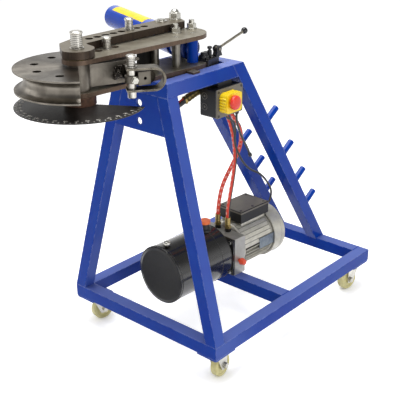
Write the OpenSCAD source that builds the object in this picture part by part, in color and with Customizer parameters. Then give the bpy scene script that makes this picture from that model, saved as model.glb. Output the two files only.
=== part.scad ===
// Hydraulic tube bender on a wheeled stand.
// X runs from the bending head to the storage pegs, Z is up, and the floor is z = 0.

/* [Stand] */
// Side of the square steel tube
tube = 40; // [38:1:42]
// Wall of the square steel tube
tube_wall = 2.5; // [2:0.5:4]
// Length of the floor frame
base_l = 832; // [760:1:900]
// Width of the floor frame
base_w = 594; // [540:1:640]
// Start of the floor frame's middle bar
cross_x = 372; // [360:1:380]
// Height of the top frame's upper face
top_z = 869; // [840:1:900]
// Distance of the top frame behind the floor frame's front
top_x = 24; // [0:1:40]
// Length of the top frame
top_l = 325; // [315:1:335]
// Width of the top frame
top_w = 214; // [200:1:230]
// Height of the front panel
panel_h = 149; // [130:1:165]
// Thickness of the front panel
panel_t = 6; // [4:0.5:8]
// Diameter of the two front panel holes
panel_hole_d = 20; // [16:1:24]
// Distance between the two front panel holes
panel_pitch = 52; // [45:1:60]
// Diameter of a storage peg
peg_d = 21; // [16:1:24]
// Length of a storage peg
peg_l = 60; // [45:1:66]
// Distances between the storage pegs along a leg
peg_pitch = [165, 140, 125]; // [110:1:180]

/* [Casters] */
// Diameter of a wheel
wheel_d = 75; // [70:1:80]
// Width of a wheel
wheel_w = 24; // [20:1:28]
// Overall height of a caster
caster_h = 97; // [95:1:105]
// Distance from the swivel axis to the wheel axle
trail = 24; // [18:1:28]
// Length and width of the caster plates
plate_size = [92, 76]; // [60:1:110]
// Diameter of a wheel axle
axle_d = 10; // [8:0.5:12]

/* [Head] */
// Distance of the centre pin in front of the stand
pin_reach = 187; // [180:1:200]
// Thickness of a frame plate
plate_t = 12; // [8:0.5:12]
// Gap between the two frame plates
plate_gap = 72; // [70:1:76]
// Radius of the frame plates round the centre pin
plate_nose_r = 40; // [36:1:44]
// Radius of the frame plates at the tail
plate_tail_r = 70; // [69:0.5:72]
// Length of the frame plates behind the stand's front
plate_tail = 272; // [268:1:274]
// Diameter of the centre pin
pin_d = 30; // [26:1:32]
// Diameter of the drive, lock and strap pins
small_pin_d = 22; // [18:1:24]
// Thickness of the swinging drive link
link_t = 20; // [14:1:22]
// Offset of the link's holes from the centre pin
link_off = 60; // [56:1:62]
// Distance between the link's drive holes
hole_pitch = 29.3; // [28:0.1:31]
// Offset of the frame plates' lock holes
lock_off = 12; // [10:1:14]
// Thickness of a bearing washer
washer_t = 3; // [2:0.5:4]
// Running clearance of pins in their bores, measured on the radius
run = 0.05; // [0.02:0.01:0.1]

/* [Die] */
// Radius of the bending die
die_r = 164; // [160:1:168]
// Thickness of the die
die_t = 58; // [54:1:62]
// Diameter of the tube that the die bends
tube_d = 50; // [44:1:52]
// Radius of the circle of drive holes
drive_r = 112; // [110:1:114]
// Angle between drive holes
drive_step = 40; // [36:1:45]
// Radius of the degree disc
disc_r = 169; // [165:1:172]
// Thickness of the degree disc
disc_t = 3; // [2:0.5:4]
// Height of the collar between lower plate and degree disc
collar_h = 23; // [18:1:26]
// Length of the straight bar that carries the strap
bar_l = 104; // [100:1:108]
// Width and height of the straight bar
bar_s = 34; // [30:1:36]
// Thickness of the strap's steel
strap_t = 5; // [4:0.5:6]
// Width of the strap
strap_w = 40; // [34:1:44]

/* [Ram] */
// Outer diameter of the ram barrel
barrel_d = 76; // [70:1:80]
// Length of the ram barrel
barrel_l = 475; // [450:1:490]
// Distance of the link's bolt beside the ram's axis
knee_off = 6.7; // [0:0.1:8]
// Diameter of the piston rod
rod_d = 36; // [32:1:40]
// Diameter of the tail eye tube
eye_d = 32; // [30:1:34]

/* [Power pack] */
// Turn of the power pack against the stand
pack_turn = -3; // [-4:0.1:-2]
// Radius of the oil tank
tank_r = 94; // [88:1:95]
// Length of the oil tank
tank_l = 236; // [230:1:250]
// Thickness, width and height of the aluminium block
block = [49, 184, 131]; // [45:1:190]
// Radius of the motor body over its fins
motor_r = 84; // [80:1:86]
// Length of the motor body
motor_l = 159; // [150:1:165]
// Radius of the fan cover
cowl_r = 90; // [88:1:92]
// Length of the fan cover
cowl_l = 62; // [56:1:70]
// Length, width and height of the terminal box
term = [140, 104, 40]; // [36:1:150]

/* [Controls] */
// Width, depth and height of the switch box
box = [116, 58, 84]; // [50:1:125]
// Thickness of the switch box's front plate
lid_t = 5; // [3:0.5:8]
// Width, depth and height of the yellow switch cover
cover = [68, 26, 56]; // [20:1:90]
// Wall of the yellow switch cover
cover_wall = 2.5; // [2:0.5:3]
// Diameter of the stop button
stop_d = 42; // [34:1:44]
// Travel of the stop button
stop_travel = 5; // [3:0.5:6]
// Length of the valve lever
lever_l = 130; // [110:1:140]
// Diameter of the valve lever
lever_d = 8; // [7:0.5:10]
// Diameter of the lever's ball
ball_d = 20; // [18:1:24]
// Diameter of the pressure and return hoses
hose_d = 13; // [11:0.5:14]
// Diameter of the hose to the ram
ram_hose_d = 18; // [16:0.5:19]
// Diameter of the motor cable and of the switch lead
cable_d = 7; // [6:0.5:8]

/* [Hidden] */
$fn = 48;

// Gap between faces that must not touch, and a small working gap
seat = 0.3;
gap = 0.5;

// Heights of the stand, and the leans of its legs
base_z = caster_h;
base_top = base_z + tube;
beam_z = top_z - tube;
top_end = top_x + top_l;
leg_run = (base_l - top_end) / (top_z - base_top);
leg_skin = tube * sqrt(1 + leg_run * leg_run);
leg_angle = atan(leg_run);
front_run = (base_w - top_w) / 2 / (beam_z - base_top);
front_lean = top_x / (beam_z - base_top);
peg_y = (top_w - tube) / 2;
peg_first = 264;
panel_hole_z = 69.5;

// Casters: swivel axis from the corner's faces, and the way each one points
caster_in = [44, 38];
caster_yaw = [8, -12, 172, 188];
swivel_t = 5;
swivel_z = base_z - swivel_t;
race_h = 8;
king_d = 12;
fork_t = 4;
fork_z = swivel_z - race_h;

// Heights in the head
lower_z = top_z;
gap_z = lower_z + plate_t;
mid_z = gap_z + plate_gap / 2;
upper_z = gap_z + plate_gap;
upper_top = upper_z + plate_t;
link_z = upper_top + washer_t;
link_top = link_z + link_t;
disc_z = lower_z - collar_h - disc_t - seat;
hub_r = 29;
collar_r = 42;

// Frame plates
pin_x = -pin_reach;
tail_x = plate_tail - plate_tail_r;
tail_lean = asin((plate_tail_r - plate_nose_r) / (tail_x - pin_x));
tail_cut = [22, 99];
lock_x = sqrt(drive_r * drive_r - lock_off * lock_off);
spacer_d = 24;
plate_bolt_d = 16;
// Pillars between the plates, and the studs that end in the upper plate
spacer_xy = [[148, -27], [128, 37]];
stud_xy = [[184, 8], [258, 13]];

// Link
link_x = sqrt(drive_r * drive_r - link_off * link_off);
link_holes = 8;
link_park = 5;
link_end = 262;
link_boss_r = 44;
knee_d = 20;

// Ram, from its tail between the plates to the bolt under the link
tail = [216, -27];
knee = [243, 64];
tail_to_knee = norm(knee - tail);
ram_a = atan2(knee[1] - tail[1], knee[0] - tail[0]) - asin(knee_off / tail_to_knee);
head_start = tail_to_knee - 13;
neck_l = 10;
head_l = 34;
barrel_start = head_start + neck_l;
barrel_wall = 6;
barrel_end = barrel_start + barrel_l;
cap_l = 14;
piston_l = 24;
piston_at = barrel_end - cap_l - piston_l - 6;

// Die's straight bar and strap, in the die's own turned frame
die_a = -20;
cut_a = 230;
bar_in = 118;
bar_face = 13;
boss_r = small_pin_d / 2 + 6;
die_hole_a = atan(lock_off / lock_x);
strap_at = [105, 91];
strap_a = -18;
strap_reach = 85;
strap_in = tube_d / 2;
strap_out = strap_in + strap_t;

// Power pack
pack_at = [382, 31];
block_z = base_top;
pack_z = block_z + block[2] / 2;
tank_gap = 16;
tank_neck_r = 60;
tank_top_y = -8;
term_x = 73;
term_y = 0;
term_rise = 1;
shaft_d = 20;
fitting_h = 50;

// Switch box
box_x = top_end - 135;
box_y = -top_w / 2 - 8;
box_drop = 16;
box_z = beam_z - box_drop - box[2];
box_wall = 3;
cover_at = [box_x + 12, box_y - lid_t - seat, box_z + 16];
button_at = [cover[0] / 2 - 8, cover[2] / 2 + 4];
flap_d = 4;

// Valve
valve_at = [plate_tail - 30, -64];
valve_turn = 12;
valve_size = [66, 50];
valve_low = top_z - 4;
flange_t = 5;
flange_z = gap_z;
lever_at = [304, -45, 906];
lever_tilt = 14.6;
port_low = valve_low - 8;

// Object's outer limits, for the origin under its middle
far_y = tail[1] + barrel_end * sin(ram_a) + (barrel_d / 2 - barrel_wall) * cos(ram_a);
mid_x = (pin_x - disc_r + base_l) / 2;
mid_y = (far_y - base_w / 2) / 2;

// Routes of the hoses and cables
return_pts = [[414, 1, 318], [415, 1, 345], [423, 0, 390], [434, -1, 440], [441, -3, 490], [441, -5, 535],
    [432, -7, 585], [416, -8, 635], [396, -8, 678], [370, -8, 720], [342, -8, 760], [316, -7, 796],
    [298, -6, 824], [292, -6, 843], [292, -6, 857]];
pressure_pts = [[416, 45, 318], [417, 44, 345], [425, 42, 390], [438, 39, 425], [456, 35, 455], [472, 27, 488],
    [482, 15, 525], [478, 2, 560], [462, -12, 595], [438, -24, 630], [408, -30, 664], [380, -31, 700],
    [352, -31, 740], [325, -31, 780], [303, -30, 815], [296, -30, 840], [296, -30, 857]];
ram_pts = [[274, -50, 857], [274, -50, 841], [268, -46, 822], [254, -42, 806], [234, -41, 798], [212, -41, 795],
    [188, -40, 788], [163, -39, 780], [138, -38, 772], [116, -34, 768], [98, -24, 772], [90, -8, 784],
    [90, 6, 800], [100, 12, 818], [120, 10, 832], [142, -2, 840], [160, -20, 845], [178, -27, 847],
    [196, -27, 847]];
cable_pts = [[318, -66, 719], [318, -66, 708], [330, -64, 694], [352, -60, 682], [373, -56, 664],
    [381, -53, 638], [383, -50, 606], [398, -47, 570], [428, -45, 525], [462, -44, 490], [492, -43, 470],
    [522, -42, 453], [552, -40, 428], [578, -36, 402], [602, -29, 378], [618, -23, 354], [621, -20, 333],
    [613, -20, 317], [602, -20, 317]];
lead_pts = [[322, -105, 719], [322, -105, 705], [328, -103, 686], [342, -99, 662], [357, -94, 642],
    [374, -88, 622], [394, -82, 600], [418, -74, 574], [438, -66, 552]];

// Moves the stand's frame so that the object is centred over the origin
module place() {
    translate([-mid_x, -mid_y, 0]) children();
}

// Outline with a rounding at each corner, each corner given as x, y and radius
function unit(v) = v / norm(v);
function corner(p, c, n, steps) =
    let (u = unit([p[0] - c[0], p[1] - c[1]]), w = unit([n[0] - c[0], n[1] - c[1]]), r = c[2])
    let (half = acos(u * w) / 2, mid = [c[0], c[1]] + unit(u + w) * r / sin(half))
    let (a = [c[0], c[1]] + u * r / tan(half) - mid, b = [c[0], c[1]] + w * r / tan(half) - mid)
    let (start = atan2(a[1], a[0]), turn = atan2(a[0] * b[1] - a[1] * b[0], a * b))
    [for (i = [0:steps]) mid + r * [cos(start + turn * i / steps), sin(start + turn * i / steps)]];
function rounded(pts, steps = 6) = let (n = len(pts))
    [for (i = [0:n - 1]) each pts[i][2] == 0 ? [[pts[i][0], pts[i][1]]]
        : corner(pts[(i + n - 1) % n], pts[i], pts[(i + 1) % n], steps)];
function arc(mid, r, from, to, steps) =
    [for (i = [0:steps]) let (a = from + (to - from) * i / steps) mid + r * [cos(a), sin(a)]];

// Box with rounded upright edges
module slab(size, r) {
    linear_extrude(size[2])
        polygon(rounded([[0, 0, r], [size[0], 0, r], [size[0], size[1], r], [0, size[1], r]], 4));
}

// Hexagon nut or bolt head, standing on its face
module hex(across, high) {
    cylinder(d = across / cos(30), h = high, $fn = 6);
}

// Round tube swept along points, as one mesh
function smooth_dir(pts, i) = unit(pts[min(i + 1, len(pts) - 1)] - pts[max(i - 1, 0)]);
function side_of(d) = unit(cross(d, abs(d[1]) < 0.9 ? [0, 1, 0] : [1, 0, 0]));
module sweep(pts, d, sides) {
    n = len(pts);
    rings = [for (i = [0:n - 1]) let (t = smooth_dir(pts, i), s = side_of(t), w = cross(t, s))
        for (k = [0:sides - 1]) pts[i] + d / 2 * (s * cos(360 * k / sides) + w * sin(360 * k / sides))];
    walls = [for (i = [0:n - 2], k = [0:sides - 1]) let (a = i * sides + k, b = i * sides + (k + 1) % sides)
        [a, b, b + sides, a + sides]];
    start = [[for (k = [0:sides - 1]) sides - 1 - k]];
    finish = [[for (k = [0:sides - 1]) (n - 1) * sides + k]];
    polyhedron(rings, concat(walls, start, finish));
}

// Pin with a shoulder and a grooved grip: shank from z = 0, shoulder at z = sit
module ribbed_pin(d, sit, grip, ribs) {
    r = d / 2;
    shoulder = 3;
    head = 7;
    groove = 1.2;
    step = (grip - shoulder - head) / ribs;
    low = sit + shoulder;
    rows = [for (i = [0:ribs - 1]) let (z = low + i * step)
        each [[r - groove, z], [r - groove, z + step * 0.35], [r, z + step * 0.45], [r, z + step]]];
    top = sit + grip;
    rotate_extrude()
        polygon(concat([[0, 0], [r - 1.5, 0], [r, 1.5], [r, sit], [r + 3, sit], [r + 3, low]], rows,
            [[r + 1.5, top - head + 1.5], [r + 1.5, top - 2], [r - 1, top], [0, top]]));
}

// Stand

// Straight square tube with closed ends
module bar(size) {
    w = tube_wall;
    difference() {
        cube(size);
        translate([w, w, w]) cube(size - 2 * [w, w, w]);
    }
}

// Side of a leaning tube between two heights, drawn in by w on every edge
function lean_side(low, high, start, run, wide, w) = let (k = w * sqrt(1 + run * run), rise = high - low - w)
    [[start + w * run + k, low + w], [start + wide + w * run - k, low + w],
    [start + wide + rise * run - k, high - w], [start + rise * run + k, high - w]];
module lean_tube(low, high, start, run, wide) {
    difference() {
        linear_extrude(tube) polygon(lean_side(low, high, start, run, wide, 0));
        translate([0, 0, tube_wall]) linear_extrude(tube - 2 * tube_wall)
            polygon(lean_side(low, high, start, run, wide, tube_wall));
    }
}

module base_frame() {
    color([0.12, 0.27, 0.62]) place() translate([0, -base_w / 2, base_z]) {
        for (y = [0, base_w - tube]) {
            translate([0, y, 0]) bar([base_l, tube, tube]);
        }
        for (x = [0, cross_x, base_l - tube]) {
            translate([x, tube, 0]) bar([tube, base_w - 2 * tube, tube]);
        }
    }
}

// Line of a rear leg's inner face at height z
function leg_in(z) = top_end - leg_skin + (top_z - z) * leg_run;

// Side of a top beam, mitred against the rear leg and drawn in by w
function beam_side(w) = let (k = w * sqrt(1 + leg_run * leg_run))
    [[top_x + w, beam_z + w], [leg_in(beam_z + w) - k, beam_z + w], [leg_in(top_z - w) - k, top_z - w],
    [top_x + w, top_z - w]];

module top_frame() {
    color([0.12, 0.27, 0.62]) place() {
        for (s = [-1, 1]) {
            translate([0, s * peg_y + tube / 2, 0]) rotate([90, 0, 0]) difference() {
                linear_extrude(tube) polygon(beam_side(0));
                translate([0, 0, tube_wall]) linear_extrude(tube - 2 * tube_wall) polygon(beam_side(tube_wall));
            }
        }
        for (x = [top_x, top_end - tube]) {
            translate([x, -top_w / 2 + tube, beam_z]) bar([tube, top_w - 2 * tube, tube]);
        }
    }
}

// Front edge and outer side of the front legs at height z
function front_x(z) = min((z - base_top) * front_lean, top_x);
function front_y(z) = base_w / 2 - (z - base_top) * front_run;

// Front leg, leaning in and back, drawn in by w on every side
module front_leg(w) {
    points = [for (z = [base_top + w, beam_z - w]) let (x = front_x(z), y = -front_y(z))
        each [[x + w, y + w, z], [x + tube - w, y + w, z], [x + tube - w, y + tube - w, z], [x + w, y + tube - w, z]]];
    polyhedron(points, [[0, 1, 2, 3], [7, 6, 5, 4], [0, 4, 5, 1], [1, 5, 6, 2], [2, 6, 7, 3], [3, 7, 4, 0]]);
}

module front_legs() {
    color([0.12, 0.27, 0.62]) place() for (s = [0, 1]) {
        mirror([0, s, 0]) difference() {
            front_leg(0);
            front_leg(tube_wall);
        }
    }
}

module rear_legs() {
    color([0.12, 0.27, 0.62]) place() for (s = [-1, 1]) {
        translate([0, s * peg_y + tube / 2, 0]) rotate([90, 0, 0])
            lean_tube(base_top, top_z, base_l - leg_skin, -leg_run, leg_skin);
    }
}

// Panel flush with the front of the legs
module front_panel() {
    points = [for (z = [top_z - panel_h, beam_z]) let (x = front_x(z), y = front_y(z) - tube)
        each [[x, -y, z], [x + panel_t, -y, z], [x + panel_t, y, z], [x, y, z]]];
    color([0.12, 0.27, 0.62]) place() difference() {
        polyhedron(points, [[0, 1, 2, 3], [7, 6, 5, 4], [0, 4, 5, 1], [1, 5, 6, 2], [2, 6, 7, 3], [3, 7, 4, 0]]);
        for (i = [0, 1]) {
            translate([-1, 0, top_z - panel_hole_z - i * panel_pitch]) rotate([0, 90, 0])
                cylinder(d = panel_hole_d, h = top_x + panel_t + 2);
        }
    }
}

// Distance of a peg from the top of its leg
function peg_along(i) = i == 0 ? peg_first : peg_along(i - 1) + peg_pitch[i - 1];

module storage_pegs() {
    color([0.12, 0.27, 0.62]) place() for (s = [-1, 1], i = [0:3]) {
        down = peg_along(i) * cos(leg_angle);
        translate([top_end + down * leg_run, s * peg_y, top_z - down]) rotate([0, 90 - leg_angle, 0]) {
            cylinder(d = peg_d, h = peg_l - 1);
            translate([0, 0, peg_l - 1]) cylinder(d1 = peg_d, d2 = peg_d - 2, h = 1);
        }
    }
}

// Casters

module at_caster(n) {
    x = n < 2 ? caster_in[0] : base_l - caster_in[0];
    y = (n % 2 == 0 ? -1 : 1) * (base_w / 2 - caster_in[1]);
    translate([x, y, 0]) rotate(caster_yaw[n]) children();
}

module caster_plates() {
    color([0.12, 0.27, 0.62]) place() for (n = [0:3]) {
        x = n < 2 ? 0 : base_l - plate_size[0];
        y = n % 2 == 0 ? -base_w / 2 : base_w / 2 - plate_size[1];
        translate([x, y, swivel_z]) slab([plate_size[0], plate_size[1], swivel_t], 6);
        at_caster(n) {
            translate([0, 0, fork_z - 6]) cylinder(d = king_d, h = race_h + 6);
            translate([0, 0, fork_z + race_h / 2]) cylinder(d = 34, h = race_h / 2);
        }
    }
}

module fork(n) {
    inside = wheel_w / 2 + 1.5;
    axle_z = wheel_d / 2;
    crown_z = fork_z - fork_t;
    color([0.72, 0.73, 0.72]) place() at_caster(n) {
        difference() {
            union() {
                translate([0, 0, crown_z]) cylinder(d = 46, h = fork_t);
                translate([0, 0, fork_z]) cylinder(d = 38, h = race_h / 2 - seat);
                translate([-16, -inside - fork_t, crown_z]) cube([trail + 26, 2 * (inside + fork_t), fork_t]);
            }
            translate([0, 0, crown_z - 1]) cylinder(d = king_d + 2 * run, h = race_h + fork_t + 2);
        }
        for (s = [-1, 1]) {
            translate([0, s * (inside + fork_t / 2) + fork_t / 2, 0]) rotate([90, 0, 0]) linear_extrude(fork_t)
                polygon(rounded([[-16, crown_z, 0], [trail - 14, axle_z - 12, 9], [trail + 12, axle_z - 12, 9],
                    [trail + 12, axle_z + 8, 3], [trail + 10, crown_z, 0]]));
            translate([trail, s * (inside + fork_t), axle_z]) rotate([-90 * s, 0, 0]) hex(16, 7);
        }
        translate([trail, inside, axle_z]) rotate([90, 0, 0]) cylinder(d = axle_d, h = 2 * inside);
    }
}

module fork_1() { fork(0); }
module fork_2() { fork(1); }
module fork_3() { fork(2); }
module fork_4() { fork(3); }

module wheel(n) {
    r = wheel_d / 2;
    w = wheel_w / 2;
    bore = axle_d / 2 + run;
    color([0.88, 0.85, 0.72]) place() at_caster(n) translate([trail, 0, r]) rotate([90, 0, 0])
        rotate_extrude($fn = 64)
            polygon([[bore, -w - 1], [14, -w - 1], [14, -w + 3], [r - 12, -w + 3], [r - 9, -w], [r - 3, -w],
                [r, -w + 4], [r, w - 4], [r - 3, w], [r - 9, w], [r - 12, w - 3], [14, w - 3], [14, w + 1],
                [bore, w + 1]]);
}

module wheel_1() { wheel(0); }
module wheel_2() { wheel(1); }
module wheel_3() { wheel(2); }
module wheel_4() { wheel(3); }

// Head

// Outline of a frame plate, grown by a margin, with its far corner cut back where the ram swings
function plate_outline(grow = 0) = concat(
    arc([pin_x, 0], plate_nose_r + grow, 90 + tail_lean, 270 - tail_lean, 20),
    arc([tail_x, 0], plate_tail_r + grow, -90 - tail_lean, tail_cut[0], 24),
    [[tail_x, 0] + (plate_tail_r + grow) * [cos(tail_cut[1]), sin(tail_cut[1])]]);

module frame_plate() {
    difference() {
        linear_extrude(plate_t) polygon(plate_outline());
        translate([pin_x, 0, -1]) cylinder(d = pin_d + 2 * run, h = plate_t + 2);
        for (p = concat(spacer_xy, [tail])) {
            translate([p[0], p[1], -1]) cylinder(d = plate_bolt_d, h = plate_t + 2);
        }
    }
}

module lower_plate() {
    color([0.5, 0.46, 0.42]) place() translate([0, 0, lower_z]) {
        frame_plate();
        for (s = [-1, 1]) {
            translate([144, s * (top_w / 2 - 26) - 13, 0]) cube([28, 26, 6]);
        }
    }
}

module upper_plate() {
    color([0.5, 0.46, 0.42]) place() translate([0, 0, upper_z]) difference() {
        frame_plate();
        for (i = [-1:1]) {
            translate([pin_x + lock_x + i * hole_pitch, lock_off, -1])
                cylinder(d = small_pin_d + 2 * run, h = plate_t + 2);
        }
        for (p = stud_xy) {
            translate([p[0], p[1], -1]) cylinder(d = plate_bolt_d, h = plate_t + 2);
        }
    }
}

module plate_spacers() {
    color([0.35, 0.34, 0.33]) place() for (p = spacer_xy) {
        translate([p[0], p[1], gap_z]) difference() {
            cylinder(d = spacer_d, h = plate_gap);
            translate([0, 0, -1]) cylinder(d = plate_bolt_d, h = plate_gap + 2);
        }
    }
}

module plate_bolts() {
    color([0.75, 0.76, 0.74]) place() {
        for (p = spacer_xy) {
            translate([p[0], p[1], lower_z - 8]) hex(plate_bolt_d + 8, 8);
            translate([p[0], p[1], lower_z]) cylinder(d = plate_bolt_d, h = upper_top - lower_z);
        }
        translate([tail[0], tail[1], lower_z]) cylinder(d = plate_bolt_d, h = upper_top - lower_z);
        for (p = stud_xy) {
            translate([p[0], p[1], upper_z]) cylinder(d = plate_bolt_d, h = plate_t + 26);
            translate([p[0], p[1], upper_top]) cylinder(d = 2 * plate_bolt_d, h = 2.5);
            translate([p[0], p[1], upper_top + 2.5]) hex(plate_bolt_d + 8, 13);
        }
    }
}

module thrust_washer() {
    color([0.72, 0.58, 0.3]) place() translate([pin_x, 0, upper_top]) difference() {
        cylinder(d = 64, h = washer_t - seat);
        translate([0, 0, -1]) cylinder(d = pin_d + 2 * run, h = washer_t + 2);
    }
}

module lower_collar() {
    color([0.36, 0.26, 0.2]) place() translate([pin_x, 0, lower_z - collar_h]) difference() {
        cylinder(r = collar_r, h = collar_h);
        translate([0, 0, -1]) cylinder(d = pin_d + 2 * run, h = collar_h + 2);
    }
}

module centre_pin() {
    low = disc_z - 12;
    color([0.8, 0.8, 0.78]) place() translate([pin_x, 0, low]) ribbed_pin(pin_d, link_top - low, 44, 7);
}

module drive_pin() {
    color([0.8, 0.8, 0.78]) place() translate([pin_x + link_x + link_park * hole_pitch, link_off, link_z])
        ribbed_pin(small_pin_d, link_t, 33, 6);
}

module lock_pin() {
    color([0.8, 0.8, 0.78]) place() translate([pin_x + lock_x, lock_off, upper_z])
        ribbed_pin(small_pin_d, plate_t, 33, 6);
}

module drive_link() {
    near = link_off - 30;
    far = link_off + 34;
    left = pin_x + link_boss_r * cos(350);
    color([0.46, 0.42, 0.38]) place() translate([0, 0, link_z]) difference() {
        linear_extrude(link_t) polygon(concat(arc([pin_x, 0], link_boss_r, 172, 350, 22),
            rounded([[left, link_boss_r * sin(350), 0], [pin_x + 50, 25, 10], [pin_x + 150, near, 30],
                [link_end - 20, near - 8, 14], [link_end, link_off, 18], [link_end - 26, far, 18],
                [pin_x + 62, far + 1, 24], [pin_x + 8, 78, 20],
                [pin_x + link_boss_r * cos(172), link_boss_r * sin(172), 0]])));
        translate([pin_x, 0, -1]) cylinder(d = pin_d + 2 * run, h = link_t + 2);
        for (i = [0:link_holes - 1]) {
            translate([pin_x + link_x + i * hole_pitch, link_off, -1])
                cylinder(d = small_pin_d + 2 * run, h = link_t + 2);
        }
        for (p = [knee, knee - [50, -8]]) {
            translate([p[0], p[1], -1]) cylinder(d = knee_d, h = link_t + 2);
        }
    }
}

module link_bolts() {
    color([0.78, 0.79, 0.77]) place() {
        for (p = [knee, knee - [50, -8]]) {
            translate([p[0], p[1], link_z]) cylinder(d = knee_d, h = link_t);
            translate([p[0], p[1], link_top]) cylinder(d = 36, h = 3);
        }
        translate([knee[0], knee[1], link_top + 3]) {
            hex(30, 15);
            translate([0, 0, 15]) rotate_extrude()
                polygon([[0, 0], [13, 0], [12.2, 4], [9.6, 8], [5.4, 10.6], [0, 11.4]]);
        }
        translate([knee[0] - 50, knee[1] + 8, link_top + 3]) cylinder(d = 22, h = 4);
    }
}

// Die

module turned() {
    translate([pin_x, 0, 0]) rotate(die_a) children();
}

module die() {
    far = 3 * die_r;
    side = cut_a - die_a;
    color([0.55, 0.54, 0.51]) place() translate([0, 0, mid_z]) turned() difference() {
        union() {
            difference() {
                rotate_extrude($fn = 72) difference() {
                    translate([0, -die_t / 2]) square([die_r, die_t]);
                    translate([die_r, 0]) circle(r = strap_in, $fn = 24);
                }
                translate([0, 0, -die_t]) linear_extrude(2 * die_t)
                    polygon([[0, -bar_face], [far, -bar_face], [far, -far], [far * cos(side + 20), far * sin(side + 20)],
                        [far * cos(side), far * sin(side)], [0, 0]]);
            }
            translate([0, 0, seat - plate_gap / 2]) cylinder(r = hub_r, h = plate_gap - 2 * seat);
            translate([bar_in, -bar_l, -bar_s / 2]) cube([bar_s, bar_l, bar_s]);
            translate([bar_in + bar_s, -bar_face, 0]) rotate([90, 0, 0]) cylinder(d = bar_s, h = bar_l - bar_face - 8);
            translate([strap_at[0], -strap_at[1], -9]) cylinder(r = boss_r, h = 18);
        }
        translate([0, 0, -plate_gap]) cylinder(d = pin_d + 2 * run, h = 2 * plate_gap);
        for (i = [0:5]) {
            rotate(die_hole_a - die_a + i * drive_step) translate([drive_r, 0, -die_t])
                cylinder(d = small_pin_d + 2 * run, h = 2 * die_t);
        }
        translate([strap_at[0], -strap_at[1], -die_t]) cylinder(d = small_pin_d + 2 * run, h = 2 * die_t);
        translate([bar_in + 19, -bar_l - 1, 0]) rotate([-90, 0, 0]) cylinder(d = 8, h = 26);
    }
}

module degree_disc() {
    far = 3 * disc_r;
    color([0.32, 0.31, 0.3]) place() translate([pin_x, 0, disc_z]) difference() {
        cylinder(r = disc_r, h = disc_t, $fn = 96);
        translate([0, 0, -1]) linear_extrude(disc_t + 2)
            polygon([[far * cos(-60), far * sin(-60)], [36 * cos(-60), 36 * sin(-60)], [36 * cos(40), 36 * sin(40)],
                [far * cos(40), far * sin(40)]]);
        translate([0, 0, -1]) cylinder(d = pin_d + 2 * run, h = disc_t + 2);
    }
}

module strap_frame() {
    turned() translate([strap_at[0], -strap_at[1], mid_z]) rotate(strap_a) children();
}

module strap() {
    open_x = -14;
    bend_x = strap_reach - strap_out;
    color([0.5, 0.48, 0.44]) place() strap_frame() difference() {
        translate([0, strap_w / 2, 0]) rotate([90, 0, 0]) linear_extrude(strap_w) difference() {
            union() {
                translate([open_x, -strap_out]) square([bend_x - open_x, 2 * strap_out]);
                translate([bend_x, 0]) circle(r = strap_out);
            }
            translate([open_x - 1, -strap_in]) square([bend_x - open_x + 1, 2 * strap_in]);
            translate([bend_x, 0]) circle(r = strap_in);
        }
        translate([0, 0, -2 * strap_out]) cylinder(d = small_pin_d + 2 * run, h = 4 * strap_out);
    }
}

module strap_pin() {
    low = strap_out + 19;
    color([0.8, 0.8, 0.78]) place() strap_frame() translate([0, 0, -low])
        ribbed_pin(small_pin_d, low + strap_out, 31, 5);
}

module strap_bolt() {
    color([0.74, 0.76, 0.73]) place() turned() translate([strap_at[0], -strap_at[1] - boss_r, mid_z])
        rotate([90, 0, 0]) {
            cylinder(d = 18, h = 2.5);
            translate([0, 0, 2.5]) hex(15, 7);
        }
}

// Ram

module along_ram(at) {
    translate([tail[0], tail[1], mid_z]) rotate(ram_a) rotate([0, 90, 0]) translate([0, 0, at]) children();
}

module ram_barrel() {
    r = barrel_d / 2;
    from = barrel_start + head_l;
    inside = r - barrel_wall;
    color([0.12, 0.27, 0.62]) place() along_ram(0) rotate_extrude($fn = 64)
        polygon([[inside, from], [r, from], [r, barrel_end - barrel_wall], [inside, barrel_end], [0, barrel_end],
            [0, barrel_end - cap_l], [inside, barrel_end - cap_l]]);
}

module ram_head() {
    r = barrel_d / 2;
    bore = rod_d / 2 + run;
    neck_r = plate_gap / 2 - 3;
    pad_h = link_z - gap - mid_z - r + 8;
    color([0.12, 0.27, 0.62]) place() {
        difference() {
            along_ram(0) rotate_extrude($fn = 64)
                polygon([[bore, head_start], [neck_r, head_start], [neck_r, barrel_start], [r, barrel_start],
                    [r, barrel_start + head_l], [bore, barrel_start + head_l]]);
            translate([knee[0], knee[1], mid_z + r - 8]) rotate(ram_a) translate([-15, -15, 0]) cube([45, 30, 20]);
        }
        translate([knee[0], knee[1], mid_z + r - 8]) rotate(ram_a) translate([-15, -15, 0]) slab([45, 30, pad_h], 8);
    }
}

module ram_rod() {
    color([0.12, 0.27, 0.62]) place() difference() {
        union() {
            translate([tail[0], tail[1], gap_z + seat]) cylinder(d = eye_d, h = plate_gap - 2 * seat);
            along_ram(0) cylinder(d = rod_d, h = piston_at + 1);
            along_ram(piston_at) cylinder(r = barrel_d / 2 - barrel_wall - run, h = piston_l);
        }
        translate([tail[0], tail[1], gap_z - 1]) cylinder(d = plate_bolt_d + 2 * run, h = plate_gap + 2);
    }
}

// Valve

module at_valve() {
    translate([valve_at[0], valve_at[1], 0]) rotate(valve_turn) children();
}

module valve_body() {
    color([0.14, 0.14, 0.14]) place() {
        difference() {
            at_valve() translate([0, 0, valve_low]) slab([valve_size[0], valve_size[1], flange_z - valve_low], 3);
            translate([0, 0, valve_low - 1]) linear_extrude(flange_z - valve_low + 1) polygon(plate_outline(seat));
        }
        at_valve() translate([0, 0, flange_z]) slab([valve_size[0] + 4, valve_size[1] + 2, flange_t], 3);
    }
}

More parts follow.
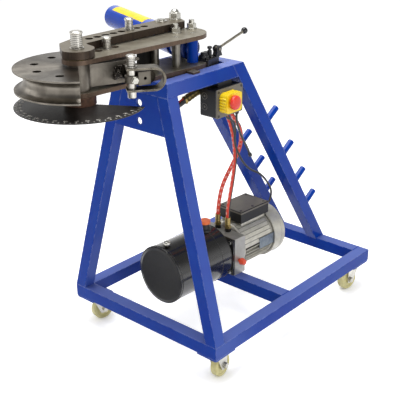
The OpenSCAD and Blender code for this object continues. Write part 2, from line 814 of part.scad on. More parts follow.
module valve_housing() {
    color([0.12, 0.12, 0.12]) place() {
        at_valve() {
            translate([10, 12, flange_z + flange_t]) slab([40, 32, 18], 5);
            translate([22, 20, flange_z + flange_t + 18]) cylinder(d = 20, h = 10);
        }
        for (s = [0, 1]) {
            translate([lever_at[0] - 12, lever_at[1] + 4 - s * 12, flange_z + flange_t]) difference() {
                cube([24, 4, lever_at[2] + 9 - flange_z - flange_t]);
                translate([12, -1, lever_at[2] - flange_z - flange_t]) rotate([-90, 0, 0])
                    cylinder(d = lever_d + 2 * run, h = 6);
            }
        }
    }
}

module valve_lever() {
    color([0.35, 0.34, 0.32]) place() translate(lever_at) {
        rotate([90, 0, 0]) translate([0, 0, -11]) cylinder(d = lever_d, h = 22);
        rotate([90, 0, 0]) translate([0, 0, -3.5]) cylinder(d = 16, h = 7);
        rotate([0, 90 - lever_tilt, 0]) cylinder(d = lever_d, h = lever_l - ball_d / 4);
    }
}

module lever_ball() {
    color([0.1, 0.1, 0.1]) place() translate(lever_at) rotate([0, 90 - lever_tilt, 0]) difference() {
        translate([0, 0, lever_l]) sphere(d = ball_d);
        cylinder(d = lever_d, h = lever_l - ball_d / 4);
    }
}

module hose_adaptors() {
    high = valve_low - port_low;
    color([0.55, 0.48, 0.28]) place() {
        for (p = [pressure_pts[len(pressure_pts) - 1], return_pts[len(return_pts) - 1]]) {
            translate(p) cylinder(d = hose_d + 3, h = high);
        }
        translate(ram_pts[0]) cylinder(d = ram_hose_d + 2, h = high);
        translate([tail[0], tail[1], lower_z - 34]) cylinder(d = 26, h = 34);
        translate(ram_pts[len(ram_pts) - 1]) rotate([0, 90, 0]) cylinder(d = ram_hose_d + 2, h = 10);
    }
}

// Switch box

module switch_box() {
    color([0.13, 0.13, 0.14]) place() {
        translate([box_x, box_y, box_z]) difference() {
            translate([0, box[1], 0]) rotate([90, 0, 0]) slab([box[0], box[2], box[1]], 5);
            translate([box_wall, -1, box_wall])
                cube([box[0] - 2 * box_wall, box[1] - box_wall + 1, box[2] - 2 * box_wall]);
        }
        translate([box_x + 28, box_y + 14, box_z + box[2]]) cube([60, 30, box_drop]);
        for (p = [cable_pts[0], lead_pts[0]]) {
            translate(p) cylinder(d = 14, h = box_z - p[2]);
        }
    }
}

module switch_lid() {
    color([0.22, 0.21, 0.2]) place() {
        translate([box_x, box_y, box_z]) rotate([90, 0, 0]) slab([box[0], box[2], lid_t], 5);
        translate([cover_at[0] + 17, box_y - lid_t - 12, cover_at[2] + 9]) cube([34, 12, 38]);
    }
}

module switch_cover() {
    color([0.95, 0.78, 0.1]) place() translate(cover_at) rotate([90, 0, 0]) {
        difference() {
            slab([cover[0], cover[2], cover[1]], 8);
            translate([cover_wall, cover_wall, -1])
                slab([cover[0] - 2 * cover_wall, cover[2] - 2 * cover_wall, cover[1] - cover_wall + 1], 6);
            translate([button_at[0], button_at[1], 0]) cylinder(d = 16 + 2 * run, h = cover[1] + 1);
        }
        translate([10, cover[2], flap_d / 2]) rotate([0, 90, 0]) cylinder(d = flap_d, h = cover[0] - 20);
    }
}

module stop_button() {
    stem = cover_wall + stop_travel + gap;
    color([0.85, 0.15, 0.1]) place()
        translate(cover_at + [button_at[0], cover_wall - cover[1], button_at[1]]) rotate([90, 0, 0]) {
            translate([0, 0, -3]) cylinder(d = 16, h = stem + 3);
            translate([0, 0, stem]) cylinder(d = stop_d, h = 10);
            translate([0, 0, stem + 10]) cylinder(d1 = stop_d, d2 = stop_d - 8, h = 4);
        }
}

// Power pack, with the block's tank face at x = 0 and its axis along x

module pack() {
    translate([pack_at[0], pack_at[1], pack_z]) rotate(pack_turn) children();
}

module round_x(from) {
    translate([from, 0, 0]) rotate([0, 90, 0]) children();
}

module tank() {
    inside = tank_r - 3;
    color([0.08, 0.08, 0.09]) place() pack() {
        round_x(-tank_gap - tank_l) rotate_extrude($fn = 96)
            polygon([[0, 0], [tank_r - 10, 0], [tank_r - 3, 2], [tank_r, 7], [tank_r, tank_l - 3],
                [inside, tank_l], [0, tank_l], [0, tank_l - 3], [inside, tank_l - 3], [inside, 9], [0, 9]]);
        round_x(-tank_gap) cylinder(r = tank_neck_r, h = tank_gap - 6);
        translate([-6, 2 - block[1] / 2, 2 - block[2] / 2]) cube([6, block[1] - 4, block[2] - 4]);
    }
}

module on_tank(x) {
    pack() difference() {
        translate([x, tank_top_y, tank_r - 6]) children();
        round_x(-tank_gap - tank_l) cylinder(r = tank_r, h = tank_l, $fn = 96);
    }
}

module tank_breather() {
    color([0.6, 0.6, 0.58]) place() on_tank(-226) {
        cylinder(d = 26, h = 12);
        translate([0, 0, 12]) hex(17, 9);
    }
}

filler_x = -55;
filler_top = 30;

module filler_neck() {
    color([0.08, 0.08, 0.09]) place() on_tank(filler_x) {
        cylinder(d = 40, h = 10);
        cylinder(d = 30, h = filler_top);
    }
}

module filler_cap() {
    color([0.95, 0.4, 0.12]) place() pack() translate([filler_x, tank_top_y, tank_r - 6 + filler_top + seat])
        cylinder(d = 36, h = 10);
}

module manifold_block() {
    color([0.72, 0.72, 0.7]) place() pack() translate([0, -block[1] / 2, -block[2] / 2]) cube(block);
}

module relief_knob() {
    color([0.95, 0.35, 0.15]) place() pack() translate([22, -block[1] / 2 - seat, -17]) rotate([90, 0, 0]) {
        cylinder(d = 12, h = 8);
        translate([0, 0, 8]) cylinder(d1 = 24, d2 = 19, h = 16);
    }
}

module motor_housing() {
    inside = motor_r - 12;
    bore = shaft_d / 2 + run;
    end_t = 10;
    color([0.68, 0.68, 0.66]) place() pack() {
        round_x(block[0]) rotate_extrude($fn = 96)
            polygon([[bore, 2], [bore, end_t], [inside, end_t], [inside, motor_l - end_t], [bore, motor_l - end_t],
                [bore, motor_l], [motor_r, motor_l], [motor_r, 6], [motor_r - 10, 0], [0, 0], [0, 2]]);
        difference() {
            translate([term_x + 10, term_y - term[1] / 2 + 8, 0]) cube([term[0] - 20, term[1] - 16, motor_r + term_rise]);
            round_x(block[0] - 40) cylinder(r = motor_r, h = motor_l + 80, $fn = 96);
        }
    }
}

module terminal_box() {
    color([0.14, 0.14, 0.14]) place() {
        pack() difference() {
            translate([term_x, term_y - term[1] / 2, motor_r + term_rise]) cube(term);
            round_x(block[0] + motor_l - gap) cylinder(r = cowl_r + gap, h = cowl_l, $fn = 96);
        }
        translate(cable_pts[len(cable_pts) - 1]) rotate([0, -90, 0]) cylinder(d = 12, h = 6);
    }
}

module fan_cover() {
    end = cowl_l;
    wall = 2;
    color([0.74, 0.74, 0.72]) place() pack() difference() {
        round_x(block[0] + motor_l) rotate_extrude($fn = 96)
            polygon([[motor_r - 8, 0], [cowl_r, 0], [cowl_r, end - 8], [cowl_r - 8, end], [0, end], [0, end - wall],
                [cowl_r - 9, end - wall], [cowl_r - wall, end - 9], [cowl_r - wall, wall], [motor_r - 8, wall]]);
        for (i = [0:11]) {
            round_x(block[0] + motor_l + end - 8) rotate(i * 30) translate([24, -3, 0]) cube([36, 6, 16]);
        }
    }
}

module rotor() {
    color([0.3, 0.3, 0.3]) place() pack() {
        round_x(block[0] + 2 + gap) cylinder(d = shaft_d, h = motor_l + 34);
        round_x(block[0] + 40) cylinder(r = motor_r - 26, h = motor_l - 80);
        round_x(block[0] + motor_l + 16) cylinder(r = 26, h = 18);
        for (i = [0:5]) {
            round_x(block[0] + motor_l + 16) rotate(i * 60 + 7) translate([18, -1.5, 1.5]) cube([cowl_r - 34, 3, 15]);
        }
    }
}

module block_fittings() {
    d = hose_d;
    color([0.62, 0.54, 0.3]) place() for (p = [pressure_pts[0], return_pts[0]]) {
        translate([p[0], p[1], p[2] - fitting_h]) rotate_extrude()
            polygon([[0, 0], [9, 0], [9, 6], [11, 6], [11, 16], [7, 18], [7, 22], [9.5, 24], [9.5, fitting_h],
                [0, fitting_h]]);
    }
}

// Hoses and cables

module hose_pressure() {
    color([0.1, 0.1, 0.1]) place() sweep(pressure_pts, hose_d, 10);
}

module hose_return() {
    color([0.1, 0.1, 0.1]) place() sweep(return_pts, hose_d, 10);
}

module hose_ram() {
    color([0.1, 0.1, 0.1]) place() sweep(ram_pts, ram_hose_d, 10);
}

module motor_cable() {
    color([0.12, 0.12, 0.12]) place() sweep(cable_pts, cable_d, 8);
}

module switch_lead() {
    color([0.12, 0.12, 0.12]) place() sweep(lead_pts, cable_d, 8);
}

module lead_plug() {
    end = lead_pts[len(lead_pts) - 1];
    way = unit(end - lead_pts[len(lead_pts) - 2]);
    color([0.1, 0.1, 0.1]) place() translate(end)
        rotate([0, acos(way[2]), atan2(way[1], way[0])]) cylinder(d = 12, h = 16);
}

base_frame();
top_frame();
front_legs();
rear_legs();
front_panel();
storage_pegs();
caster_plates();
fork_1();
fork_2();
fork_3();
fork_4();
wheel_1();
wheel_2();
wheel_3();
wheel_4();
lower_plate();
upper_plate();
plate_spacers();
plate_bolts();
thrust_washer();
lower_collar();
centre_pin();
drive_pin();
lock_pin();
strap_pin();
drive_link();
link_bolts();
die();
degree_disc();
strap();
strap_bolt();
ram_barrel();
ram_head();
ram_rod();
valve_body();
valve_housing();
valve_lever();
lever_ball();
hose_adaptors();
switch_box();
switch_lid();
switch_cover();
stop_button();
tank();
tank_breather();
filler_neck();
filler_cap();
manifold_block();
relief_knob();
motor_housing();
terminal_box();
fan_cover();
rotor();
block_fittings();
hose_pressure();
hose_return();
hose_ram();
motor_cable();
switch_lead();
lead_plug();
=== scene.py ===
import math
import bmesh
import bpy
from mathutils import Matrix, Vector


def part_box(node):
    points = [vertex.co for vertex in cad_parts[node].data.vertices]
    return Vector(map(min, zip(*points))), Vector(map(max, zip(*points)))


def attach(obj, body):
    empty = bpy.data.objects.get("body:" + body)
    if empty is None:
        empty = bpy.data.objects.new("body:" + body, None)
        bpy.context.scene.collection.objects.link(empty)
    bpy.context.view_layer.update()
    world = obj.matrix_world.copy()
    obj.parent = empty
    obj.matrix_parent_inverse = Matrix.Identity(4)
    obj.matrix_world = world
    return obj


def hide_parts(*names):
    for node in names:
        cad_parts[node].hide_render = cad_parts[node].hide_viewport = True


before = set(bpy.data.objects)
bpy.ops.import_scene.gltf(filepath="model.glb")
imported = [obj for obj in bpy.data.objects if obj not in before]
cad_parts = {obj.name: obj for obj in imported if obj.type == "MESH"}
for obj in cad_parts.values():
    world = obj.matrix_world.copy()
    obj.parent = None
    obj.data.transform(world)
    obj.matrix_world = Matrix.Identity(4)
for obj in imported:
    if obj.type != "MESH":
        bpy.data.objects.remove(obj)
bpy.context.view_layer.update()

# Camera
# The bender is photographed from in front of its left side, from above, with a long lens. The stand's zero
# point is on the floor, under the middle of the floor frame's front edge, and X runs to the back.
floor_low, floor_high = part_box("base_frame")
stand_zero = Vector((floor_low[0], (floor_low[1] + floor_high[1]) / 2, 0))
MM = 0.001


def stand(x, y, z):
    return stand_zero + Vector((x, y, z)) * MM


eye_place = stand(-1551.7, -1603.6, 1464.7)
heading, pitch, roll = math.radians(41.29), math.radians(-23.145), math.radians(-0.425)
lens = bpy.data.cameras.new("camera")
lens.sensor_width = 36
lens.lens = 75.87
camera = bpy.data.objects.new("camera", lens)
bpy.context.scene.collection.objects.link(camera)
camera.matrix_world = (Matrix.Translation(eye_place) @ Matrix.Rotation(heading - math.pi / 2, 4, "Z")
                       @ Matrix.Rotation(math.pi / 2 + pitch, 4, "X") @ Matrix.Rotation(roll, 4, "Z"))
bpy.context.scene.camera = camera


# Hoses and cables
# Black rubber hose with a broad red line and short pale dashes printed along it, and plain black cable. They
# are drawn as tubes along their routes, whose points repeat the part's own.
def wire(tree, kind, sockets, **settings):
    """Adds a shader node, sets it up, and links or fills its sockets."""
    part = tree.nodes.new(kind)
    for name, value in settings.items():
        setattr(part, name, value)
    for name, value in sockets.items():
        if isinstance(value, bpy.types.NodeSocket):
            tree.links.new(value, part.inputs[name])
        else:
            part.inputs[name].default_value = value
    return part


def colour(r, g, b):
    """A colour written as the camera sees it, from 0 to 255, turned into the shader's own scale."""
    def straight(v):
        v = v / 255
        return v / 12.92 if v <= 0.04045 else ((v + 0.055) / 1.055) ** 2.4
    return (straight(r), straight(g), straight(b), 1)


def mixed(tree, share, first, second):
    """Blends two colours by a share."""
    return wire(tree, "ShaderNodeMix", {0: share, 6: first, 7: second}, data_type="RGBA").outputs[2]


def sums(tree, operation, first, second):
    return wire(tree, "ShaderNodeMath", {0: first, 1: second}, operation=operation).outputs[0]


def times(tree, first, second):
    return sums(tree, "MULTIPLY", first, second)


def noise_at(tree, where, scale, detail=4.0, distortion=0.0):
    return wire(tree, "ShaderNodeTexNoise", {"Vector": where, "Scale": scale, "Detail": detail,
                                             "Distortion": distortion}).outputs["Fac"]


def ramp(tree, value, low, high):
    """0 below low, 1 above high, smooth between."""
    return wire(tree, "ShaderNodeMapRange", {"Value": value, "From Min": low, "From Max": high},
                interpolation_type="SMOOTHSTEP", clamp=True).outputs[0]


def vector_sums(tree, operation, first, second=(0, 0, 0)):
    found = wire(tree, "ShaderNodeVectorMath", {0: first, 1: second}, operation=operation).outputs
    return found["Value" if operation in ("DOT_PRODUCT", "LENGTH") else "Vector"]


def place_of(tree):
    """Where a point of the surface lies, in metres."""
    return wire(tree, "ShaderNodeTexCoord", {}).outputs["Object"]


def facing_of(tree):
    """Which way the surface looks."""
    return wire(tree, "ShaderNodeNewGeometry", {}).outputs["Normal"]


def group_of(name, inputs, outputs):
    tree = bpy.data.node_groups.new(name, "ShaderNodeTree")
    for label, kind, value in inputs:
        socket = tree.interface.new_socket(name=label, in_out="INPUT", socket_type="NodeSocket" + kind)
        if value is not None:
            socket.default_value = value
    for label, kind in outputs:
        tree.interface.new_socket(name=label, in_out="OUTPUT", socket_type="NodeSocket" + kind)
    return tree, tree.nodes.new("NodeGroupInput").outputs, tree.nodes.new("NodeGroupOutput").inputs


worn, given, out = group_of(
    "worn surface",
    (("Colour", "Color", None), ("Deep Colour", "Color", None), ("Worn Colour", "Color", None),
     ("Patch Size", "Float", 0.05), ("Patch Amount", "Float", 0.3), ("Edge Width", "Float", 0.002),
     ("Edge Wear", "Float", 0.3), ("Roughness", "Float", 0.4), ("Roughness Swing", "Float", 0.15),
     ("Grain Size", "Float", 0.001), ("Grain Depth", "Float", 0.00002)),
    (("Colour", "Color"), ("Roughness", "Float"), ("Normal", "Vector")))
where = place_of(worn)
patches = noise_at(worn, where, sums(worn, "DIVIDE", 1.0, given["Patch Size"]), 5.0, 0.4)
spread = times(worn, ramp(worn, patches, 0.35, 0.68), given["Patch Amount"])
rounded = wire(worn, "ShaderNodeBevel", {"Radius": given["Edge Width"]}, samples=4).outputs[0]
turned_off = vector_sums(worn, "DOT_PRODUCT", rounded, facing_of(worn))
edge = ramp(worn, sums(worn, "SUBTRACT", 1.0, turned_off), 0.01, 0.12)
specks = noise_at(worn, where, sums(worn, "DIVIDE", 6.0, given["Patch Size"]), 3.0)
rubbed = times(worn, times(worn, edge, ramp(worn, specks, 0.35, 0.6)), given["Edge Wear"])
base = mixed(worn, spread, given["Colour"], given["Deep Colour"])
worn.links.new(mixed(worn, rubbed, base, given["Worn Colour"]), out["Colour"])
swing = times(worn, sums(worn, "SUBTRACT", specks, 0.5), given["Roughness Swing"])
worn.links.new(sums(worn, "ADD", given["Roughness"], swing), out["Roughness"])
grain = noise_at(worn, where, sums(worn, "DIVIDE", 1.0, given["Grain Size"]), 2.0)
bumped = wire(worn, "ShaderNodeBump", {"Height": grain, "Distance": given["Grain Depth"], "Strength": 1.0,
                                       "Normal": rounded})
worn.links.new(bumped.outputs[0], out["Normal"])


def inside(material):
    """A material's tree and its shader."""
    return material.node_tree, material.node_tree.nodes["Principled BSDF"]


def fed_by(shader, label):
    """What feeds one of the shader's sockets now."""
    return shader.inputs[label].links[0].from_socket


pair_labels = {"patch": ("Patch Size", "Patch Amount"), "edge": ("Edge Width", "Edge Wear"),
               "rough": ("Roughness", "Roughness Swing"), "grain": ("Grain Size", "Grain Depth")}


def surface(name, main, deep=None, rub=None, metallic=0.0, level=0.5, coat=0.0, coat_roughness=0.05, **pairs):
    """A material with the worn surface over one shader. Its three colours are written from 0 to 255. Its
    pairs are patch=(size, amount), edge=(width, wear), rough=(roughness, swing) and grain=(size, depth). A
    plain number sets the first of a pair."""
    made = bpy.data.materials.new(name)
    made.use_nodes = True
    tree, shader = inside(made)
    look = wire(tree, "ShaderNodeGroup", {}, node_tree=worn)
    for label, tint in (("Colour", main), ("Deep Colour", deep or main), ("Worn Colour", rub or main)):
        look.inputs[label].default_value = colour(*tint)
    for kind, values in pairs.items():
        for label, value in zip(pair_labels[kind], values if isinstance(values, tuple) else (values,)):
            look.inputs[label].default_value = value
    for label, source in (("Base Color", "Colour"), ("Roughness", "Roughness"), ("Normal", "Normal")):
        tree.links.new(look.outputs[source], shader.inputs[label])
    for label, value in (("Metallic", metallic), ("IOR", 1.5), ("Specular IOR Level", level),
                         ("Coat Weight", coat), ("Coat Roughness", coat_roughness)):
        shader.inputs[label].default_value = value
    return made


def recolour(material, share, other):
    """Lays another colour over a surface where share is 1."""
    tree, shader = inside(material)
    tree.links.new(mixed(tree, share, fed_by(shader, "Base Color"), other), shader.inputs["Base Color"])


def grime(material, reach, tint, amount=1.0):
    """Paints shade into the corners and grooves of a surface, darker where they are closed in."""
    tree = material.node_tree
    # Painted shade: the surface darkens where ambient occlusion finds it closed in.
    open_share = wire(tree, "ShaderNodeAmbientOcclusion", {"Distance": reach}, samples=4).outputs["AO"]
    recolour(material, times(tree, ramp(tree, open_share, 0.9, 0.45), amount), tint)


def piece(name, bm, material, smooth=40, stands_for=(), body="stand"):
    """Turns a built mesh into a piece that rides on a body."""
    mesh = bpy.data.meshes.new(name)
    bmesh.ops.recalc_face_normals(bm, faces=bm.faces)
    bm.to_mesh(mesh)
    bm.free()
    mesh.materials.append(material)
    made = bpy.data.objects.new(name, mesh)
    bpy.context.scene.collection.objects.link(made)
    mesh.shade_smooth()
    mesh.set_sharp_from_angle(angle=math.radians(smooth))
    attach(made, body)
    if stands_for:
        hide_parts(*stands_for)
    return made


def smooth_route(points, steps=6):
    """Points on a smooth line through the route's points."""
    line = []
    for i in range(len(points) - 1):
        a = points[i - 1] if i else points[0] * 2 - points[1]
        b, c = points[i], points[i + 1]
        d = points[i + 2] if i + 2 < len(points) else points[-1] * 2 - points[-2]
        for k in range(steps):
            t = k / steps
            line.append(0.5 * ((2 * b) + (c - a) * t + (2 * a - 5 * b + 4 * c - d) * t * t
                               + (3 * b - a - 3 * c + d) * t ** 3))
    line.append(points[-1])
    return line


def hose_mesh(line, radius, sides=20, line_turn=0.0, narrow=0.0):
    """A tube along a line, with one radius or a list of them. Each point keeps how far along it lies, and how
    near to the printed line."""
    radii = radius if isinstance(radius, list) else [radius] * len(line)
    bm = bmesh.new()
    along = bm.verts.layers.float.new("along")
    beside = bm.verts.layers.float.new("beside")
    rings, run = [], 0.0
    side = None
    for i, p in enumerate(line):
        way = (line[min(i + 1, len(line) - 1)] - line[max(i - 1, 0)]).normalized()
        if side is None:
            side = way.cross(Vector((0, 1, 0)) if abs(way.y) < 0.9 else Vector((1, 0, 0))).normalized()
        side = (side - way * side.dot(way)).normalized()
        over = way.cross(side)
        run += (p - line[i - 1]).length if i else 0
        ring = []
        for k in range(sides):
            a = math.tau * k / sides
            v = bm.verts.new(p + (side * math.cos(a) + over * math.sin(a)) * radii[i])
            v[along] = run
            v[beside] = math.cos(a - line_turn) - narrow
            ring.append(v)
        rings.append(ring)
    for low, high in zip(rings, rings[1:]):
        for k in range(sides):
            bm.faces.new((low[k], low[(k + 1) % sides], high[(k + 1) % sides], high[k]))
    bm.faces.new(reversed(rings[0]))
    bm.faces.new(rings[-1])
    return bm


rubber = surface("hose rubber", (34, 34, 34), (52, 50, 48), (80, 78, 75), patch=(0.02, 0.4),
                 edge=(0.0005, 0.2), rough=0.45, grain=(0.0008, 0.00005))
dash_pitch, dash_gap, dash_fade = 0.019, 0.011, 0.0005
tree = rubber.node_tree
run = wire(tree, "ShaderNodeAttribute", {}, attribute_name="along").outputs["Fac"]
near = wire(tree, "ShaderNodeAttribute", {}, attribute_name="beside").outputs["Fac"]
dashed = ramp(tree, sums(tree, "MODULO", run, dash_pitch), dash_gap, dash_gap + dash_fade)
dash = times(tree, dashed, ramp(tree, near, 0.88, 0.95))
recolour(rubber, ramp(tree, near, 0.25, 0.33), mixed(tree, dash, colour(228, 66, 46), colour(238, 168, 152)))
cable_skin = surface("cable skin", (30, 30, 31), (44, 44, 44), patch=(0.015, 0.5), edge=0.0004, rough=0.42,
                     grain=(0.0006, 0.00003))
hose_d, ram_hose_d, cable_d = 0.013, 0.018, 0.007
return_route = ((414, 1, 318), (415, 1, 345), (423, 0, 390), (434, -1, 440), (441, -3, 490), (441, -5, 535),
                (432, -7, 585), (416, -8, 635), (396, -8, 678), (370, -8, 720), (342, -8, 760),
                (316, -7, 796), (298, -6, 824), (292, -6, 843), (292, -6, 857))
pressure_route = ((416, 45, 318), (417, 44, 345), (425, 42, 390), (438, 39, 425), (456, 35, 455),
                  (472, 27, 488), (482, 15, 525), (478, 2, 560), (462, -12, 595), (438, -24, 630),
                  (408, -30, 664), (380, -31, 700), (352, -31, 740), (325, -31, 780), (303, -30, 815),
                  (296, -30, 840), (296, -30, 857))
ram_route = ((274, -50, 857), (274, -50, 841), (268, -46, 822), (254, -42, 806), (234, -41, 798),
             (212, -41, 795), (188, -40, 788), (163, -39, 780), (138, -38, 772), (116, -34, 768),
             (98, -24, 772), (90, -8, 784), (90, 6, 800), (100, 12, 818), (120, 10, 832), (142, -2, 840),
             (160, -20, 845), (178, -27, 847), (196, -27, 847))
cable_route = ((318, -66, 719), (318, -66, 708), (330, -64, 694), (352, -60, 682), (373, -56, 664),
               (381, -53, 638), (383, -50, 606), (398, -47, 570), (428, -45, 525), (462, -44, 490),
               (492, -43, 470), (522, -42, 453), (552, -40, 428), (578, -36, 402), (602, -29, 378),
               (618, -23, 354), (621, -20, 333), (613, -20, 317), (602, -20, 317))
lead_route = ((322, -105, 719), (322, -105, 705), (328, -103, 686), (342, -99, 662), (357, -94, 642),
              (374, -88, 622), (394, -82, 600), (418, -74, 574), (438, -66, 552))


def lay_hose(name, route, diameter, node, material, turn=0, narrow=0.0):
    """A hose or cable along its route, its printed line turned about it and made thinner by narrow."""
    line = smooth_route([stand(*p) for p in route])
    tube = hose_mesh(line, diameter / 2, line_turn=math.radians(turn), narrow=narrow)
    made = piece(name, tube, material, 60, (node,))


lay_hose("return_hose", return_route, hose_d, "hose_return", rubber, -12)
lay_hose("pressure_hose", pressure_route, hose_d, "hose_pressure", rubber, 41)
lay_hose("ram_hose", ram_route, ram_hose_d, "hose_ram", rubber, 190, narrow=0.6)
lay_hose("supply_cable", cable_route, cable_d, "motor_cable", cable_skin)


# Lead's plug
# A moulded rubber plug on the short lead under the switch box, with a ribbed sleeve where the lead enters it.
def on_circle(r, k, count):
    """The point k of count round a circle."""
    a = math.tau * k / count
    return r * math.cos(a), r * math.sin(a)


def lathe(bm, profile, place, sides=48):
    """Turns a profile of radius and height, in millimetres, about the local upright axis."""
    rings = []
    for r, z in profile:
        if r == 0:
            rings.append([bm.verts.new(place @ (Vector((0, 0, z)) * MM))])
        else:
            rings.append([bm.verts.new(place @ (Vector((*on_circle(r, k, sides), z)) * MM))
                          for k in range(sides)])
    for low, high in zip(rings, rings[1:]):
        for k in range(sides):
            n = (k + 1) % sides
            if len(low) == 1 and len(high) > 1:
                bm.faces.new((low[0], high[k], high[n]))
            elif len(high) == 1 and len(low) > 1:
                bm.faces.new((low[k], low[n], high[0]))
            elif len(low) > 1:
                bm.faces.new((low[k], low[n], high[n], high[k]))
    return bm


def facing_way(place, way):
    """A frame whose local upright axis points along way."""
    return Matrix.Translation(place) @ way.to_track_quat("Z", "Y").to_matrix().to_4x4()


plug_rubber = surface("plug rubber", (28, 28, 29), patch=(0.02, 0.2), edge=0.0006, rough=0.5,
                      grain=(0.0007, 0.00004))
lead_end, lead_before = stand(*lead_route[-1]), stand(*lead_route[-2])
plug_place = facing_way(lead_end, (lead_end - lead_before).normalized())
ribs, rib_pitch = 4, 1.2
plug_profile = [(0, -0.2), (3.9, -0.2)]
for i in range(ribs):
    plug_profile += [(4.6, 0.3 + i * rib_pitch), (4.0, 0.9 + i * rib_pitch)]
plug_profile += [(5.6, 5.6), (6, 7), (6, 15.2), (5.2, 16), (0, 16)]
plug = piece("lead_end_plug", lathe(bmesh.new(), plug_profile, plug_place, 24), plug_rubber,
             35, ("lead_plug",))
lay_hose("short_lead", lead_route, cable_d, "switch_lead", cable_skin)


# Studio
# A white floor that keeps the bender's soft shadow, with its glow dimmed near the bender as a painted contact
# shadow, a white room that is dimmer overhead, and large soft lamps overhead and at both sides.
floor_half, floor_level, floor_glow = 40, -0.0005, 0.68
corners = [(x * floor_half, y * floor_half, floor_level) for x, y in ((-1, -1), (1, -1), (1, 1), (-1, 1))]
mesh = bpy.data.meshes.new("floor")
mesh.from_pydata(corners, [], [(0, 1, 2, 3)])
floor = bpy.data.objects.new("floor", mesh)
bpy.context.scene.collection.objects.link(floor)
floor_paint = bpy.data.materials.new("floor paint")
floor_paint.use_nodes = True
tree = floor_paint.node_tree
tree.nodes.remove(tree.nodes["Principled BSDF"])
matt = wire(tree, "ShaderNodeBsdfDiffuse", {"Color": (0.9, 0.9, 0.9, 1)})
# Painted contact shadow: the floor's glow is dimmed where ambient occlusion finds it closed in.
open_share_for_painted_shadow = wire(tree, "ShaderNodeAmbientOcclusion", {"Distance": 0.1}, samples=8).outputs["AO"]
glow = wire(tree, "ShaderNodeEmission", {"Color": (1, 1, 1, 1),
                                         "Strength": times(tree, open_share_for_painted_shadow, floor_glow)})
rays = wire(tree, "ShaderNodeLightPath", {}).outputs
mirrored = sums(tree, "MAXIMUM", rays["Is Glossy Ray"], rays["Is Transmission Ray"])
seen = sums(tree, "MAXIMUM", rays["Is Camera Ray"], mirrored)
both = wire(tree, "ShaderNodeAddShader", {0: matt.outputs[0], 1: glow.outputs[0]})
chosen = wire(tree, "ShaderNodeMixShader", {0: seen, 1: matt.outputs[0], 2: both.outputs[0]})
tree.links.new(chosen.outputs[0], tree.nodes["Material Output"].inputs[0])
floor.data.materials.append(floor_paint)


def parts(tree, vector):
    """A vector's X, Y and Z."""
    return wire(tree, "ShaderNodeSeparateXYZ", {0: vector}).outputs


room = bpy.data.worlds.new("room")
bpy.context.scene.world = room
room.use_nodes = True
tree = room.node_tree
up = parts(tree, wire(tree, "ShaderNodeTexCoord", {}).outputs["Generated"])["Z"]
height = wire(tree, "ShaderNodeMapRange", {"Value": up, "From Min": 0.16, "From Max": 0.6, "To Min": 1.0,
                                           "To Max": 0.24}, interpolation_type="SMOOTHSTEP", clamp=True)
tree.links.new(height.outputs[0], tree.nodes["Background"].inputs["Strength"])
tree.nodes["Background"].inputs["Color"].default_value = (1, 1, 1, 1)
middle = stand(300, 0, 500)


def soft_lamp(name, place, wide, deep, watts):
    light = bpy.data.lights.new(name, "AREA")
    light.shape, light.size, light.size_y, light.energy = "RECTANGLE", wide, deep, watts
    made = bpy.data.objects.new(name, light)
    bpy.context.scene.collection.objects.link(made)
    made.location = place
    made.rotation_euler = (middle - place).to_track_quat("-Z", "Y").to_euler()


soft_lamp("overhead", stand(100, 200, 3000), 2.2, 1.6, 70)
soft_lamp("right_side", stand(-400, -3000, 1500), 1.4, 2.0, 26)
soft_lamp("left_strip", stand(-1500, 2400, 2100), 0.5, 2.0, 16)
bpy.context.scene.view_settings.view_transform = "Standard"


# Stand
# Square steel tube with rounded edges, mitred, welded and sprayed gloss blue, as are the front panel, the
# storage pegs and the caster plates. Its tops, and its near side at the head, are painted paler: light dust
# together with a painted sheen of the lamps.
def dress(material, *nodes):
    for node in nodes:
        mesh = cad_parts[node].data
        mesh.materials.clear()
        mesh.materials.append(material)


# The pale colour rubbed into the tube edges is partly wear and partly a painted highlight along them.
paint = surface("gloss blue paint", (0, 58, 156), (0, 46, 150), (150, 168, 226), level=0.1, patch=(0.11, 0.6),
                edge=(0.0045, 0.55), rough=(0.2, 0.08), grain=(0.012, 0.00004))
tree = paint.node_tree
facing = parts(tree, facing_of(tree))
along = parts(tree, place_of(tree))["X"]
# The paler colour on the tops and near side is light dust and a painted sheen of the lamps.
top_dust_and_sheen, side_dust_and_sheen, dust_and_sheen_from, dust_and_sheen_to = 0.36, 0.15, stand(230, 0, 0).x, stand(20, 0, 0).x
dust_and_sheen_on_top = times(tree, ramp(tree, facing["Z"], 0.6, 0.95), top_dust_and_sheen)
front_share = times(tree, ramp(tree, along, dust_and_sheen_from, dust_and_sheen_to), side_dust_and_sheen)
dust_and_sheen_on_side = times(tree, ramp(tree, facing["Y"], -0.7, -0.95), front_share)
recolour(paint, sums(tree, "ADD", dust_and_sheen_on_top, dust_and_sheen_on_side), colour(150, 165, 222))
dress(paint, "base_frame", "top_frame", "front_legs", "rear_legs", "front_panel", "storage_pegs",
      "caster_plates")


# Weld beads
# Rows of small weld ripples round the stand's joints and at the foot of each peg, under the same blue paint.
def bead(bm, start, finish, radius=2.2, pitch=3.2):
    """A row of overlapping weld ripples between two points."""
    way = finish - start
    count = max(3, int(way.length / (pitch * MM)))
    for i in range(count):
        middle_point = start + way * ((i + 0.5) / count)
        wide = radius * (1 + 0.16 * math.sin(i * 2.4) + 0.1 * math.sin(i * 5.1)) * MM
        stretch = Matrix.Diagonal((wide, wide, pitch * 0.95 * MM, 1))
        place = facing_way(middle_point, way.normalized()) @ stretch
        bmesh.ops.create_icosphere(bm, subdivisions=2, radius=1.0, matrix=place)


